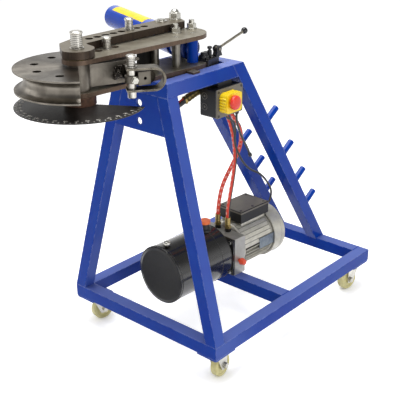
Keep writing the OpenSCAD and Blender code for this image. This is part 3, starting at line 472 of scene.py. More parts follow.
tube, base_top, cross_start = 40, 137, 372
top_start, top_end, top_half, base_half, base_end, top_high = 24, 349, 107, 297, 832, 869
leg_foot, leg_heel, tube_low, under = base_end - 46, base_end - 4, floor_low[2] / MM + 4, top_high - tube
bm = bmesh.new()
for s in (-1, 1):
    outer, inner = s * (base_half - 1), s * (base_half - tube)
    foot_out, foot_in = s * (top_half - 1), s * (top_half - tube)
    ends = [((tube, outer - s, base_top), (tube, inner, base_top)),
            ((2, inner, base_top), (tube, inner, base_top)),
            ((leg_foot + 1, foot_out, base_top + 1), (leg_heel, foot_out, base_top + 1)),
            ((leg_foot, foot_in, base_top + 1), (leg_foot, foot_out, base_top + 1))]
    ends += [((x, inner, base_top - 2), (x, inner - s * 1.5, tube_low))
             for x in (cross_start, cross_start + tube, base_end - tube)]
    ends += [((cross_start + 2, inner, base_top), (cross_start + tube - 2, inner, base_top)),
             ((base_end - tube + 2, inner, base_top), (base_end - 2, inner, base_top)),
             ((top_start + tube, foot_out, under), (top_start + 3, foot_out, under))]
    for start, finish in ends:
        bead(bm, stand(*start), stand(*finish))
leg_run = (base_end - top_end) / (top_high - base_top)
leg_angle = math.atan(leg_run)
peg_places, peg_bead_r, peg_steps = (264, 429, 569, 694), 10.8, 20
square_on_leg = Matrix.Rotation(math.pi / 2 - leg_angle, 4, "Y")
for s in (-1, 1):
    for along_leg in peg_places:
        down = along_leg * math.cos(leg_angle)
        root = stand(top_end + down * leg_run, s * (top_half - tube / 2), top_high - down)
        ring = [root + (square_on_leg @ (Vector((*on_circle(peg_bead_r, k, peg_steps), 0.4)) * MM))
                for k in range(peg_steps + 1)]
        for here, following in zip(ring, ring[1:]):
            bead(bm, here, following, 1.6, 1.7)
welds = surface("blue weld", (20, 60, 158), (34, 72, 172), (120, 140, 210), level=0.4, patch=(0.01, 0.4),
                edge=0.0006, rough=0.28, grain=(0.002, 0.0001))
piece("weld_beads", bm, welds, 60)


# Casters
# Pressed steel forks with bright zinc plating, on swivel bearings under the painted plates. The wheels are
# moulded of cream nylon and turn on bolts.
zinc = surface("bright zinc", (200, 198, 190), (165, 163, 155), (228, 226, 220), metallic=1.0,
               patch=(0.012, 0.6), edge=(0.0007, 0.4), rough=(0.26, 0.2), grain=(0.001, 0.00002))
nylon = surface("cream nylon", (218, 210, 152), (188, 178, 116), (170, 160, 112), level=0.4,
                patch=(0.02, 0.5), edge=(0.0014, 0.25), rough=0.38, grain=(0.0012, 0.00003))
for n in (1, 2, 3, 4):
    dress(zinc, "fork_%d" % n)
    dress(nylon, "wheel_%d" % n)


# Head plates and link
# Two thick plates of hot rolled steel, flame cut, oiled and left bare, bolted over turned pillars. Their cut
# edges are brown. The drive link that swings between them is cut from the same steel.
def steel(name, top, side, edge_colour, rough, patch=0.04):
    """Bare rolled steel: grey faces with brown scale, and sawn or flame cut sides."""
    made = surface(name, top, (118, 108, 92), (196, 188, 172), metallic=0.75, patch=(patch, 0.6),
                   edge=(0.0009, 0.6), rough=(rough, 0.25), grain=(0.0016, 0.00006))
    tree, shader = inside(made)
    flat = ramp(tree, sums(tree, "ABSOLUTE", parts(tree, facing_of(tree))["Z"], 0.0), 0.4, 0.8)
    stretched = wire(tree, "ShaderNodeMapping", {"Vector": place_of(tree), "Scale": (240.0, 240.0, 14.0)})
    streaks = noise_at(tree, stretched.outputs[0], 1.0, 3.0)
    cut = mixed(tree, streaks, colour(*side), colour(*edge_colour))
    tree.links.new(mixed(tree, flat, cut, fed_by(shader, "Base Color")), shader.inputs["Base Color"])
    return made


plate = steel("rolled plate", (158, 152, 136), (112, 92, 76), (70, 58, 50), 0.42)
link_steel = steel("link plate", (128, 120, 104), (40, 34, 30), (78, 64, 52), 0.4, 0.03)
pillar = surface("turned pillar", (120, 116, 108), (84, 80, 74), (180, 176, 166), metallic=0.9,
                 patch=(0.02, 0.6), edge=0.0006, rough=0.36)
dress(plate, "lower_plate", "upper_plate")
dress(link_steel, "drive_link")
dress(pillar, "plate_spacers")


# Plate web
# An upright strip of steel welded between the two plates, coloured dark as painted shade. The photograph
# shows something dark there, and the strip is a guess.
def turned(degrees, axis="Z"):
    return Matrix.Rotation(math.radians(degrees), 4, axis)


# The strip's dark colour is painted shade between the plates.
web_painted_shade = surface("dark web", (40, 38, 36), (24, 23, 22), (90, 84, 76), metallic=0.7, patch=(0.03, 0.7),
                    edge=0.0008, rough=0.45)
web_x, web_y, web_long, web_thick, web_heading, web_round = 106, 46, 84, 6, 4, 0.0008
web_low, web_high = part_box("lower_plate")[1].z / MM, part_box("upper_plate")[0].z / MM
bm = bmesh.new()
bmesh.ops.create_cube(bm, size=1.0, matrix=Matrix.Translation(stand(web_x, web_y, (web_low + web_high) / 2))
                      @ turned(web_heading)
                      @ Matrix.Diagonal((web_long * MM, web_thick * MM, (web_high - web_low) * MM, 1)))
bmesh.ops.bevel(bm, geom=bm.edges[:], offset=web_round, segments=2, affect="EDGES")
piece("plate_web", bm, web_painted_shade)


# Collar, washer and hose adaptors
# A rough brown collar under the lower plate, and a washer under the link and screwed hose adaptors plated in
# yellow zinc.
collar = surface("brown collar", (92, 64, 48), (58, 42, 34), (150, 116, 92), metallic=0.5, patch=(0.012, 0.7),
                 edge=(0.001, 0.4), rough=0.55, grain=(0.0012, 0.0001))
gold = surface("yellow zinc", (172, 150, 96), (120, 104, 60), (214, 200, 150), metallic=0.95,
               patch=(0.008, 0.5), edge=(0.0006, 0.5), rough=0.3, grain=(0.0008, 0.00002))
dress(collar, "lower_collar")
dress(gold, "thrust_washer", "hose_adaptors")


# Ram hose's sleeve
# A steel sleeve, yellow zinc plated, crimped in rings over the middle of the hose that feeds the ram.
crimp_line = smooth_route([stand(*p) for p in ram_route])[26:43]
crimp = ([0.0094, 0.0116] + [0.0118, 0.0118, 0.011] * 3
         + [0.0118, 0.0118, 0.0112, 0.0112, 0.0128, 0.0094])
piece("ram_hose_sleeve", hose_mesh(crimp_line, crimp, 24), gold)


# Pins and bolts
# Lift-out pins turned from bright steel, with painted shade in the grooves of their grips, and zinc plated
# bolts.
dress(zinc, "plate_bolts", "link_bolts", "strap_bolt")
polished = surface("turned pin", (214, 211, 204), (184, 178, 166), (236, 234, 228), metallic=1.0,
                   patch=(0.02, 0.3), edge=(0.0003, 0.5), rough=(0.3, 0.08), grain=(0.0006, 0.00001))
# Painted shade in the grooves of the pins' grips.
grime(polished, 0.0035, colour(26, 23, 20))
dress(polished, "centre_pin", "drive_pin", "lock_pin", "strap_pin")


# Bending die
# A sector turned from thick steel, with a half round groove for the tube and a straight bar set against it.
# Turning left fine rings on its faces. Dark and light sectors fanning round the pin are a painted highlight
# of the turned top, and the bar is coloured dark and mottled with a lighter grey far end.
pin_x, head_z, bar_heading = -187, 917, -20
pin_place = stand(pin_x, 0, 0)
die_steel = surface("turned steel", (146, 140, 130), (104, 98, 90), (206, 202, 194), metallic=0.95,
                    patch=(0.03, 0.6), edge=(0.0011, 0.55), rough=(0.34, 0.16), grain=(0.001, 0.00002))
tree, shader = inside(die_steel)
place = place_of(tree)
from_pin = vector_sums(tree, "SUBTRACT", place, pin_place)
flat_only = vector_sums(tree, "MULTIPLY", from_pin, (1, 1, 0))
rings_per_metre, fan_scale, fan_shade_share = 1400.0, 2.1, 0.45
ring_run = times(tree, vector_sums(tree, "LENGTH", flat_only), rings_per_metre)
ring_place = wire(tree, "ShaderNodeCombineXYZ", {"X": ring_run}).outputs[0]
turned_rings = wire(tree, "ShaderNodeBump", {"Height": noise_at(tree, ring_place, 1.0, 2.0), "Strength": 0.55,
                                             "Distance": 0.00012, "Normal": fed_by(shader, "Normal")})
tree.links.new(turned_rings.outputs[0], shader.inputs["Normal"])
tree.links.new(vector_sums(tree, "CROSS_PRODUCT", flat_only, (0, 0, 1)), shader.inputs["Tangent"])
shader.inputs["Anisotropic"].default_value = 0.75
# Painted highlight: dark and light sectors fanning round the pin, as the turned top would reflect.
heading_share = vector_sums(tree, "NORMALIZE", flat_only)
fan_place = vector_sums(tree, "MULTIPLY", heading_share, (fan_scale, fan_scale, 0))
painted_fan_highlight = ramp(tree, noise_at(tree, fan_place, 1.0, 3.0), 0.38, 0.62)
now = fed_by(shader, "Base Color")
shaded = mixed(tree, fan_shade_share, now, colour(70, 64, 58))
tree.links.new(mixed(tree, painted_fan_highlight, shaded, now), shader.inputs["Base Color"])
local = wire(tree, "ShaderNodeVectorRotate", {"Vector": from_pin, "Angle": math.radians(-bar_heading)},
             rotation_type="Z_AXIS").outputs[0]
beside = parts(tree, local)
bar_side, bar_near, bar_far = (0.094, 0.1), (-0.0128, -0.0133), (-0.1032, -0.1036)
on_bar = times(tree, ramp(tree, beside["X"], *bar_side), ramp(tree, beside["Y"], *bar_near))
# The bar is coloured dark and mottled, with a lighter grey far end.
dark_mottle = mixed(tree, noise_at(tree, place, 140.0, 4.0), colour(34, 31, 28), colour(84, 78, 68))
recolour(die_steel, on_bar, mixed(tree, ramp(tree, beside["Y"], *bar_far), dark_mottle, colour(116, 111, 102)))
# Painted shade in the die's corners and its groove.
grime(die_steel, 0.02, colour(58, 50, 44), 0.7)
dress(die_steel, "die")


# Die weld
# The rough weld that holds the bar to the die: lumps in the corner, and a row of ripples along both edges.
def moved(x, y, z=0.0):
    """A shift in millimetres."""
    return Matrix.Translation(Vector((x, y, z)) * MM)


bar_frame = Matrix.Translation(stand(pin_x, 0, head_z)) @ turned(bar_heading)
lumps, ripples = 26, 30
drops = [(101 + 9 * math.sin(i * 2.4), -15.5 + 3.4 * math.cos(i * 2.4 * 1.3),
          -15 + 32 * (i * 7 % lumps) / lumps, 4.2 + 1.5 * math.sin(i * 1.7)) for i in range(lumps)]
drops += [(118.5 + i * 1.1, -14, side * 17, 2.2 + 0.5 * math.sin(i * 2.3))
          for side in (-1, 1) for i in range(ripples)]
bm = bmesh.new()
for x, y, z, size in drops:
    bmesh.ops.create_icosphere(bm, subdivisions=2, radius=size * MM, matrix=bar_frame @ moved(x, y, z))
burnt_weld = surface("burnt weld", (74, 68, 62), (30, 27, 25), (210, 206, 198), metallic=0.9,
                     patch=(0.006, 1.0), edge=(0.0008, 0.6), rough=(0.3, 0.3), grain=(0.0015, 0.0004))
piece("die_weld", bm, burnt_weld, 60, body="die")


# Tube strap
# A strap bent from bare flat bar, bright at its edges from rubbing and from a painted highlight, with
# painted shade in its corners. It turns on its pin.
# Its pale edge colour is partly rubbed steel and partly a painted highlight.
strap_steel = surface("bent flat bar", (122, 116, 104), (66, 60, 52), (214, 208, 196), metallic=0.85,
                      patch=(0.02, 0.9), edge=(0.0011, 0.8), rough=0.34, grain=(0.0012, 0.00005))
# Painted shade darkens the strap's corners.
grime(strap_steel, 0.03, colour(30, 26, 23))
dress(strap_steel, "strap")


# Degree disc
# A thin disc of blackened steel. White filled ticks stand near its rim, a short one each five degrees and a
# longer one each ten, with plain numbers inside them.
disc_steel = surface("blackened disc", (58, 56, 55), (36, 35, 34), (150, 145, 136), metallic=0.6,
                     patch=(0.03, 0.7), edge=(0.0007, 0.7), rough=0.4, grain=(0.001, 0.00003))
dress(disc_steel, "degree_disc")
disc_top, mark_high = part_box("degree_disc")[1].z, 0.00025


def scale_mark(bm, angle, first, last, aside, half):
    """A raised white bar on the disc, at an angle about the pin, in millimetres."""
    way, side = Vector((math.cos(angle), math.sin(angle), 0)), Vector((-math.sin(angle), math.cos(angle), 0))
    centre = Vector((pin_place.x, pin_place.y, disc_top))
    low = [bm.verts.new(centre + (way * r + side * (aside + w)) * MM) for r, w in
           ((first, -half), (last, -half), (last, half), (first, half))]
    high = [bm.verts.new(v.co + Vector((0, 0, mark_high))) for v in low]
    bm.faces.new(high)
    for k in range(4):
        bm.faces.new((low[k], low[(k + 1) % 4], high[(k + 1) % 4], high[k]))


first_angle, span, tick_step, tick_half = 45, 250, 5, 0.9
long_from, short_from, ticks_to, digits_from, digit_pitch = 158, 161, 166.5, 148.5, 5.6
strokes = {"a": (5.6, 6.6, -1.9, 1.9), "b": (3.2, 6.4, 1.3, 2.1), "c": (0.2, 3.2, 1.3, 2.1),
           "d": (0, 1, -1.9, 1.9), "e": (0.2, 3.2, -2.1, -1.3), "f": (3.2, 6.4, -2.1, -1.3),
           "g": (2.8, 3.7, -1.9, 1.9)}
digits = ("abcdef", "bc", "abged", "abgcd", "fgbc", "afgcd", "afgedc", "abc", "abcdefg", "abcdfg")
bm = bmesh.new()
for i in range(span // tick_step + 1):
    a, number = math.radians(first_angle + i * tick_step), span - i * tick_step
    scale_mark(bm, a, long_from if i % 2 == 0 else short_from, ticks_to, 0, tick_half)
    if i % 2 == 0 and number:
        for place, digit in enumerate(reversed(str(number))):
            for stroke in digits[int(digit)]:
                low, high, left, right = strokes[stroke]
                scale_mark(bm, a, digits_from + low, digits_from + high,
                           (left + right) / 2 + digit_pitch / 2 - place * digit_pitch, (right - left) / 2)
white_fill = surface("white fill", (226, 222, 212), (180, 176, 166), patch=(0.004, 0.6), edge=0.0002,
                     rough=0.5)
piece("degree_ticks", bm, white_fill, 30, body="disc")


# Ram
# A hydraulic ram of drawn steel tube, painted with the stand, between the link and a pin in the head plates.
# The gland round its rod is a guess: the photograph shows something dark there, and the gland's dark blue
# is painted shade.
dress(paint, "ram_barrel", "ram_head", "ram_rod")
ram_tail, knee, knee_off = Vector((216, -27)), Vector((243, 64)), 6.7
to_knee = knee - ram_tail
ram_angle = math.atan2(to_knee.y, to_knee.x) - math.asin(knee_off / to_knee.length)
ram_frame = (Matrix.Translation(stand(ram_tail.x, ram_tail.y, head_z)) @ Matrix.Rotation(ram_angle, 4, "Z")
             @ turned(90, "Y"))
gland = [(12, 14), (30, 14), (32, 16), (32, 64), (34, 65), (34, 76), (32, 77.5), (12, 77.5)]
# The gland's dark blue stands in for shade.
gland_shade_blue = surface("shaded blue", (4, 34, 100), (2, 24, 78), (96, 128, 205), level=0.4, patch=(0.03, 0.6),
                   edge=0.001, rough=0.25)
piece("ram_gland", lathe(bmesh.new(), gland, ram_frame, 48), gland_shade_blue, body="rod")


# Ram's sheet
# A plain yellow plastic sheet, stuck round the near side of the barrel.
def curved_sheet(bm, start, finish, first, last, radius, thick, steps=24):
    """A thin sheet wrapped on the ram between two distances and two angles."""
    def at(s, a, r):
        return ram_frame @ (Vector((-r * math.sin(a), r * math.cos(a), s)) * MM)
    rows = []
    for k in range(steps + 1):
        a = math.radians(first + (last - first) * k / steps)
        rows.append([bm.verts.new(at(s, a, r)) for s, r in
                     ((start, radius), (start, radius + thick), (finish, radius + thick), (finish, radius))])
    for one, two in zip(rows, rows[1:]):
        for k in range(4):
            bm.faces.new((one[k], two[k], two[(k + 1) % 4], one[(k + 1) % 4]))
    bm.faces.new(rows[0])
    bm.faces.new(list(reversed(rows[-1])))
    return bm


yellow_sheet = surface("yellow sheet", (236, 205, 40), (214, 176, 30), patch=(0.03, 0.3), edge=0.0003,
                       rough=0.3)
barrel_r, sheet_start, sheet_end, sheet_from, sheet_to = 38, 288, 525, 52, 110
bm = curved_sheet(bmesh.new(), sheet_start, sheet_end, sheet_from, sheet_to, barrel_r + 0.02, 0.25)
piece("ram_sheet", bm, yellow_sheet, 30, body="barrel")


# Valve
# A black spool valve bolted beside the lower plate, with a flange on top, a clevis with its screws, and a
# lever with a black ball.
def prism(bm, place, corners, low, high):
    """A straight prism over corners given in millimetres."""
    first = [bm.verts.new(place @ (Vector((x, y, low)) * MM)) for x, y in corners]
    second = [bm.verts.new(place @ (Vector((x, y, high)) * MM)) for x, y in corners]
    count = len(corners)
    bm.faces.new(list(reversed(first)))
    bm.faces.new(second)
    for k in range(count):
        bm.faces.new((first[k], first[(k + 1) % count], second[(k + 1) % count], second[k]))


black_casting = surface("black casting", (36, 36, 38), (52, 52, 54), (96, 96, 96), metallic=0.3,
                        patch=(0.012, 0.5), edge=(0.001, 0.4), rough=0.36, grain=(0.0012, 0.0001))
dark_screws = surface("black oxide", (40, 38, 37), (66, 62, 56), (150, 146, 138), metallic=0.85,
                      patch=(0.004, 0.5), edge=(0.0005, 0.6), rough=0.26)
ball_gloss = surface("black knob", (22, 22, 23), patch=(0.02, 0.2), edge=0.0004, rough=0.12,
                     grain=(0.002, 0.00001))
lever_steel = surface("lever steel", (150, 144, 130), (96, 92, 84), (190, 186, 176), metallic=0.9,
                      patch=(0.01, 0.5), edge=0.0005, rough=0.3)
dress(black_casting, "valve_body", "filler_neck")
dress(ball_gloss, "lever_ball")
dress(lever_steel, "valve_lever")
valve_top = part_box("valve_housing")[0][2] / MM
valve_frame = Matrix.Translation(stand(242, -64, valve_top)) @ turned(12)
pivot, ear_r, ear_steps, ear_thick = (304, -45, 906), 11, 14, 4
foot_z = valve_top - pivot[2]
ear = [(ear_r * math.cos(math.pi * k / ear_steps), ear_r * math.sin(math.pi * k / ear_steps))
       for k in range(ear_steps + 1)]
ear += [(-9, -8), (-14, foot_z), (14, foot_z), (9, -8)]
bm = bmesh.new()
for y in (pivot[1] + 2 * ear_thick, pivot[1] - ear_thick):
    prism(bm, Matrix.Translation(stand(pivot[0], y, pivot[2])) @ turned(90, "X"), ear, 0, ear_thick)
for x, y, sides, profile in (
        (22, 27, 36, [(15, 0), (15, 7), (13, 9.5), (10, 10.5), (10, 15), (8.5, 16.5), (0, 17)]),
        (44, 20, 24, [(6.5, 0), (6.5, 18), (4, 19), (4, 24), (7, 24), (7, 29), (5.5, 30.5), (0, 30.5)]),
        (52, 36, 6, [(10, 0), (10, 6), (7, 6), (7, 12), (0, 12)])):
    lathe(bm, profile, valve_frame @ moved(x, y), sides)
piece("valve_head", bm, black_casting, 40, ("valve_housing",))
bm = bmesh.new()
lathe(bm, [(0, -14), (5.4, -14), (6, -13.4), (6, -10.6), (4.4, -10.4), (4.4, -8.2)],
      Matrix.Translation(stand(*pivot)) @ turned(90, "X"), 24)
for x, y in ((8, 9), (8, 42), (34, 8), (40, 43)):
    lathe(bm, [(0, 4.6), (4.4, 4.6), (5, 4), (5, 0.1), (6, 0.1), (6, -0.2)], valve_frame @ moved(x, y), 6)
piece("valve_screws", bm, dark_screws)


# Switch box
# A moulded black box hung under the top frame. Its dark grey lid is held by four black screws, and round
# knock-outs for cables show on its front end.
box_plastic = surface("box plastic", (18, 18, 20), (28, 28, 30), (70, 72, 78), level=0.35, patch=(0.03, 0.4),
                      edge=0.0012, rough=0.4, grain=(0.0012, 0.00008))
lid_plastic = surface("lid plastic", (108, 102, 92), (92, 87, 79), (120, 116, 108), patch=(0.03, 0.4),
                      edge=0.0012, rough=0.44, grain=(0.001, 0.0001))
screw_black = surface("black screw", (20, 20, 20), None, (90, 90, 90), metallic=0.6, patch=(0.004, 0.3),
                      edge=(0.0003, 0.4), rough=0.35)
dress(box_plastic, "switch_box")
dress(lid_plastic, "switch_lid")
box_left, box_right, box_bottom, box_top, box_y = 214, 330, 729, 813, -107
lid_deep, plate_deep, screw_in = 8, 5, 7
lid_face = stand(0, box_y - lid_deep - plate_deep, 0).y
outward, forward = Vector((0, -1, 0)), Vector((-1, 0, 0))
bm = bmesh.new()
for x in (box_left + screw_in, box_right - screw_in):
    for z in (box_bottom + screw_in, box_top - screw_in):
        place = facing_way(Vector((stand(x, 0, z).x, lid_face, z * MM)), outward)
        lathe(bm, [(1.2, -0.6), (1.2, 0.2), (2.6, 0.2), (3.6, 0.9), (3.6, -0.4)], place, 20)
piece("lid_screws", bm, screw_black)
knock_out_y, knock_out_heights = -73, (758, 790)
bm = bmesh.new()
for z in knock_out_heights:
    place = facing_way(stand(box_left, knock_out_y, z), forward)
    lathe(bm, [(9.0, -0.3), (9.0, 0.6), (10.2, 0.6), (10.2, -0.3)], place, 36)
    lathe(bm, [(0, 0.25), (3.0, 0.25), (3.4, -0.1)], place, 24)
piece("knock_outs", bm, lid_plastic)


# Stop button and flap
# A red mushroom button of moulded plastic, set in a yellow flap that swings over the switches. Grips are
# moulded along two edges of the flap.
button_plastic = surface("red plastic", (232, 62, 44), (214, 44, 32), (244, 110, 90), patch=(0.02, 0.4),
                         edge=(0.0008, 0.2), rough=0.3)
flap_plastic = surface("yellow plastic", (248, 214, 30), (238, 196, 20), (252, 228, 90), patch=(0.03, 0.4),
                       edge=(0.0012, 0.2), rough=0.28)
dress(flap_plastic, "switch_cover")
button_low, button_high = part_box("stop_button")
button_place = facing_way(Vector(((button_low[0] + button_high[0]) / 2, button_high[1],
                                  (button_low[2] + button_high[2]) / 2)), outward)
button_deep = (button_high[1] - button_low[1]) / MM
crown = ((8, 14), (18.5, 14), (20.6, 12.4), (21, 10), (20.6, 6), (19, 3.4), (15.5, 1.6), (10, 0.5), (0, 0))
mushroom = [(0, 0), (8, 0)] + [(r, button_deep - back) for r, back in crown]
piece("mushroom_button", lathe(bmesh.new(), mushroom, button_place, 56), button_plastic, 40,
      ("stop_button",), body="button")
cover_low, cover_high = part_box("switch_cover")
grips, first_grip, grip_pitch = 5, 9, 8.5
bm = bmesh.new()
for i in range(grips):
    z = cover_low[2] + (first_grip + i * grip_pitch) * MM
    for x in (cover_low[0], cover_high[0]):
        lathe(bm, [(0, 0), (3.4, 0), (3.4, 21), (2.6, 22.5), (0, 22.5)],
              facing_way(Vector((x, cover_high[1] - 0.001, z)), outward), 16)
piece("flap_grips", bm, flap_plastic, body="cover")


# Oil tank
# A drawn steel tank sprayed gloss black, with a rolled rim, a seam and a flange plate on four screws. A
# filler with an orange cap stands on its top.
pack_frame = Matrix.Translation(stand(382, 31, 202.5)) @ turned(-3)


def along_pack(x, y=0.0, z=0.0):
    """A frame on the power pack, its upright axis along the pack's own."""
    return pack_frame @ moved(x, y, z) @ turned(90, "Y")


tank_coat, end_matt = 0.6, 0.42
tank_black = surface("gloss black paint", (26, 25, 24), (18, 18, 18), (110, 106, 100), coat=tank_coat,
                     coat_roughness=0.08, patch=(0.05, 0.5), edge=0.002, rough=(0.24, 0.12),
                     grain=(0.006, 0.00012))
tree, shader = inside(tank_black)
pressed_end = ramp(tree, parts(tree, facing_of(tree))["X"], -0.93, -0.98)
coat_left = sums(tree, "SUBTRACT", tank_coat, times(tree, pressed_end, tank_coat))
tree.links.new(coat_left, shader.inputs["Coat Weight"])
rougher = sums(tree, "ADD", fed_by(shader, "Roughness"), times(tree, pressed_end, end_matt))
tree.links.new(rougher, shader.inputs["Roughness"])
dress(tank_black, "tank")
tank_r, tank_end, seam, tank_start, rim_sides = 94, -252, -58, -16, 12
bm = bmesh.new()
for x, r, s in ((tank_end + 4.5, tank_r - 0.4, 2.0), (tank_end + 12, tank_r + 0.3, 1.1),
                (seam, tank_r + 0.2, 0.9), (tank_start - 2, tank_r + 0.3, 1.0)):
    round_it = [on_circle(s, k, rim_sides) for k in range(rim_sides + 1)]
    lathe(bm, [(r + out_by, x + along_by) for out_by, along_by in round_it], along_pack(0), 96)
piece("tank_rims", bm, tank_black, 60)
orange_plastic = surface("orange plastic", (246, 118, 52), (232, 96, 40), (250, 160, 110), patch=(0.01, 0.5),
                         edge=0.0007, rough=0.34)
dress(orange_plastic, "filler_cap")
screw_across, screw_up = 78, 53
bm = bmesh.new()
for y in (-screw_across, screw_across):
    for z in (-screw_up, screw_up):
        lathe(bm, [(0, -13), (5.4, -13), (6, -12.4), (6, -6), (8.4, -6), (8.4, -5.4), (0, -5.4)],
              along_pack(0, y, z), 24)
piece("flange_screws", bm, zinc)


# Breather
# A plug screwed into the tank's top, with a blackened six sided foot under a pressed, zinc plated dome.
breather_low, breather_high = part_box("tank_breather")
breather_place = Matrix.Translation(Vector(((breather_low.x + breather_high.x) / 2,
                                            (breather_low.y + breather_high.y) / 2, breather_low.z)))
tall = (breather_high.z - breather_low.z) / MM
bm = lathe(bmesh.new(), [(0, 0), (12, 0), (12, tall - 14), (10, tall - 12)], breather_place, 6)
piece("breather_foot", bm, dark_screws)
dome = [(6, tall - 14), (6, tall - 9), (10.4, tall - 8.6), (11, tall - 7.6), (11, tall - 2),
        (9.6, tall + 2.4), (6, tall + 4), (0, tall + 4.4)]
piece("breather_dome", lathe(bmesh.new(), dome, breather_place, 40), zinc, 50, ("tank_breather",))


# Block and hose ends
# A block of machined aluminium between tank and motor. Black steel adaptors screw into its top, with crimped
# yellow zinc sleeves over the hoses.
machined = surface("machined aluminium", (176, 174, 168), (150, 148, 140), (222, 220, 214), metallic=0.6,
                   patch=(0.02, 0.5), edge=(0.0012, 0.5), rough=0.42, grain=(0.0007, 0.00004))
dress(machined, "manifold_block")
dark_steel = surface("black fitting", (38, 36, 34), (60, 56, 50), (130, 126, 118), metallic=0.8,
                     patch=(0.004, 0.5), edge=(0.0006, 0.5), rough=0.3)
fitting_tall, crimps, crimp_pitch = 50, 4, 5.6
sleeves, adaptors = bmesh.new(), bmesh.new()
for route in (return_route, pressure_route):
    foot = Matrix.Translation(stand(route[0][0], route[0][1], route[0][2] - fitting_tall))
    lathe(adaptors, [(0, 0), (10.6, 0), (11, 0.5), (11, 5.5), (10.2, 6.2), (8, 6.6), (8, 9)], foot, 6)
    lathe(adaptors, [(7.6, 8), (9.4, 8.4), (9.4, 11), (7.6, 11.4)], foot, 24)
    lathe(sleeves, [(7, 11), (10, 11), (10.6, 11.6), (10.6, 20), (10, 20.6), (7.4, 20.8)], foot, 6)
    rows = [(7.2, 20), (8.2, 21), (8.2, 24), (9.2, 24.6)]
    for k in range(crimps):
        rows += [(9.5, 25.4 + k * crimp_pitch), (9.5, 29.2 + k * crimp_pitch), (9.1, 29.8 + k * crimp_pitch)]
    rows += [(9.5, 48.2), (9.2, 49.8), (7, 50)]
    lathe(sleeves, rows, foot, 32)
piece("hose_sleeves", sleeves, gold, 40, ("block_fittings",))
piece("port_adaptors", adaptors, dark_steel)


# Relief knob
# A moulded knob of orange red plastic on the block's side, pressed on the relief valve's stem.
knob_red = surface("orange red knob", (240, 84, 48), (226, 66, 36), (248, 130, 100), patch=(0.01, 0.4),
                   edge=0.001, rough=0.3)
knob_place = pack_frame @ moved(22, -92.3, -17) @ turned(90, "X")
knob = [(0, 0), (6, 0), (6, 6), (9.5, 6.6), (11.6, 8.2), (12, 10), (11.4, 13), (9.6, 16.5), (9.3, 21),
        (8.6, 23.2), (6.5, 24), (0, 24)]
piece("relief_handle", lathe(bmesh.new(), knob, knob_place, 32), knob_red, 40, ("relief_knob",),
      body="knob")


# Motor
# A cast aluminium motor, with narrow cooling fins along two bands and broad ribs round the rest, but for the
# saddle of the terminal box on top. A bare metal plate is fixed to its side.
cast = surface("cast aluminium", (206, 203, 191), (176, 172, 160), (228, 226, 218), metallic=0.55,
               patch=(0.02, 0.5), edge=(0.0009, 0.4), rough=0.42, grain=(0.0012, 0.0001))
# Painted shade darkens the grooves between the fins.
grime(cast, 0.008, colour(60, 57, 52), 0.8)
motor_start, motor_end, motor_r, fins = 49, 208, 84, 36
body = [(0, motor_start + 0.2), (motor_r - 10, motor_start + 0.2), (motor_r - 1, motor_start + 5),
        (motor_r, motor_start + 8), (motor_r, motor_start + 13), (motor_r - 2, motor_start + 15),
        (motor_r - 8, motor_start + 16), (motor_r - 8, motor_end - 10), (motor_r - 1, motor_end - 8),
        (motor_r - 1, motor_end - 0.3), (0, motor_end - 0.3)]
bm = lathe(bmesh.new(), body, along_pack(0), 96)
for i in range(fins):
    a = 360 * i / fins
    if 70 < a < 110:
        continue
    thin = 175 < a < 235 or 300 < a < 355
    foot, tip, from_start, from_end = (1.6, 1.0, 18, 14) if thin else (7.2, 6.6, 14, 10)
    prism(bm, along_pack(0) @ turned(a + 90),
          ((motor_r - 9, -foot), (motor_r - 0.4, -tip), (motor_r - 0.4, tip), (motor_r - 9, foot)),
          motor_start + from_start, motor_end - from_end)
term_start, term_long, term_wide, term_low, term_tall = 73, 140, 104, 85, 40
saddle_in, saddle_low = (10, 8), 60


def rectangle(long, wide, in_x, in_y):
    """The corners of a rectangle, drawn in from its edges."""
    return (in_x, in_y), (long - in_x, in_y), (long - in_x, wide - in_y), (in_x, wide - in_y)


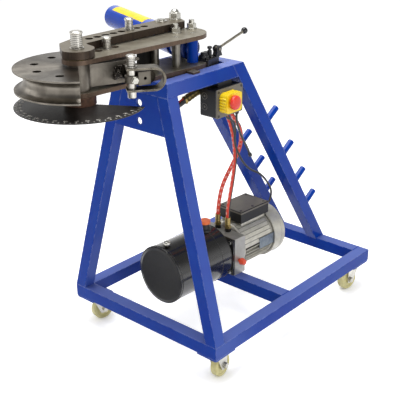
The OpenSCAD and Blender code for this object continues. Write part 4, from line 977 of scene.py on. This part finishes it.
prism(bm, pack_frame @ moved(term_start, -term_wide / 2), rectangle(term_long, term_wide, *saddle_in),
      saddle_low, term_low)
piece("motor_casting", bm, cast, 32, ("motor_housing",))
bare_long, bare_high, bare_thick = 80, 38, 3
bm = bmesh.new()
prism(bm, pack_frame @ moved(134, -motor_r - 0.6, -18), rectangle(bare_long, bare_thick, 0, 0), 0, bare_high)
plate_blue = surface("bare plate", (140, 150, 160), (104, 116, 130), (200, 204, 208), metallic=0.7,
                     patch=(0.012, 0.6), edge=0.0005, rough=0.32)
piece("bare_plate", bm, plate_blue, 30)


# Fan cover and rotor
# A cover pressed from sheet and pushed over the motor's end, with a ring at its edge and one at its step. The
# shaft, core and fan of the rotor are inside it.
dress(cast, "fan_cover")
cowl_step, cowl_r = 247, 90
bm = lathe(bmesh.new(), [(cowl_r - 0.4, cowl_step - 2.2), (cowl_r + 0.9, cowl_step - 1.4),
                         (cowl_r + 0.9, cowl_step + 1.2), (cowl_r - 0.4, cowl_step + 2)], along_pack(0), 96)
lathe(bm, [(cowl_r - 2, motor_end - 0.6), (cowl_r + 0.8, motor_end - 0.4), (cowl_r + 0.8, motor_end + 3),
           (cowl_r - 0.5, motor_end + 4)], along_pack(0), 96)
piece("cover_rings", bm, cast)
dress(zinc, "rotor")


# Terminal box
# A black plastic box on the motor's saddle, with a stepped grey lid held by five black screws.
dress(box_plastic, "terminal_box")
lid = pack_frame @ moved(term_start, -term_wide / 2, term_low)
lid_over, lid_in, screw_edge = 1, 2.5, 12
bm = bmesh.new()
prism(bm, lid, rectangle(term_long, term_wide, -lid_over, -lid_over), term_tall - 7, term_tall - 1.8)
prism(bm, lid, rectangle(term_long, term_wide, lid_in, lid_in), term_tall - 2, term_tall + 0.4)
piece("terminal_lid", bm, lid_plastic, 30)
bm = bmesh.new()
for x, y in ((screw_edge, screw_edge), (term_long / 2, screw_edge), (term_long - screw_edge, screw_edge),
             (screw_edge, term_wide - screw_edge), (term_long - screw_edge, term_wide - screw_edge)):
    lathe(bm, [(1.4, 0.6), (1.4, 1.0), (4.2, 1.0), (4.6, 0.4), (4.6, 0.2)], lid @ moved(x, y, term_tall), 20)
piece("terminal_screws", bm, screw_black)
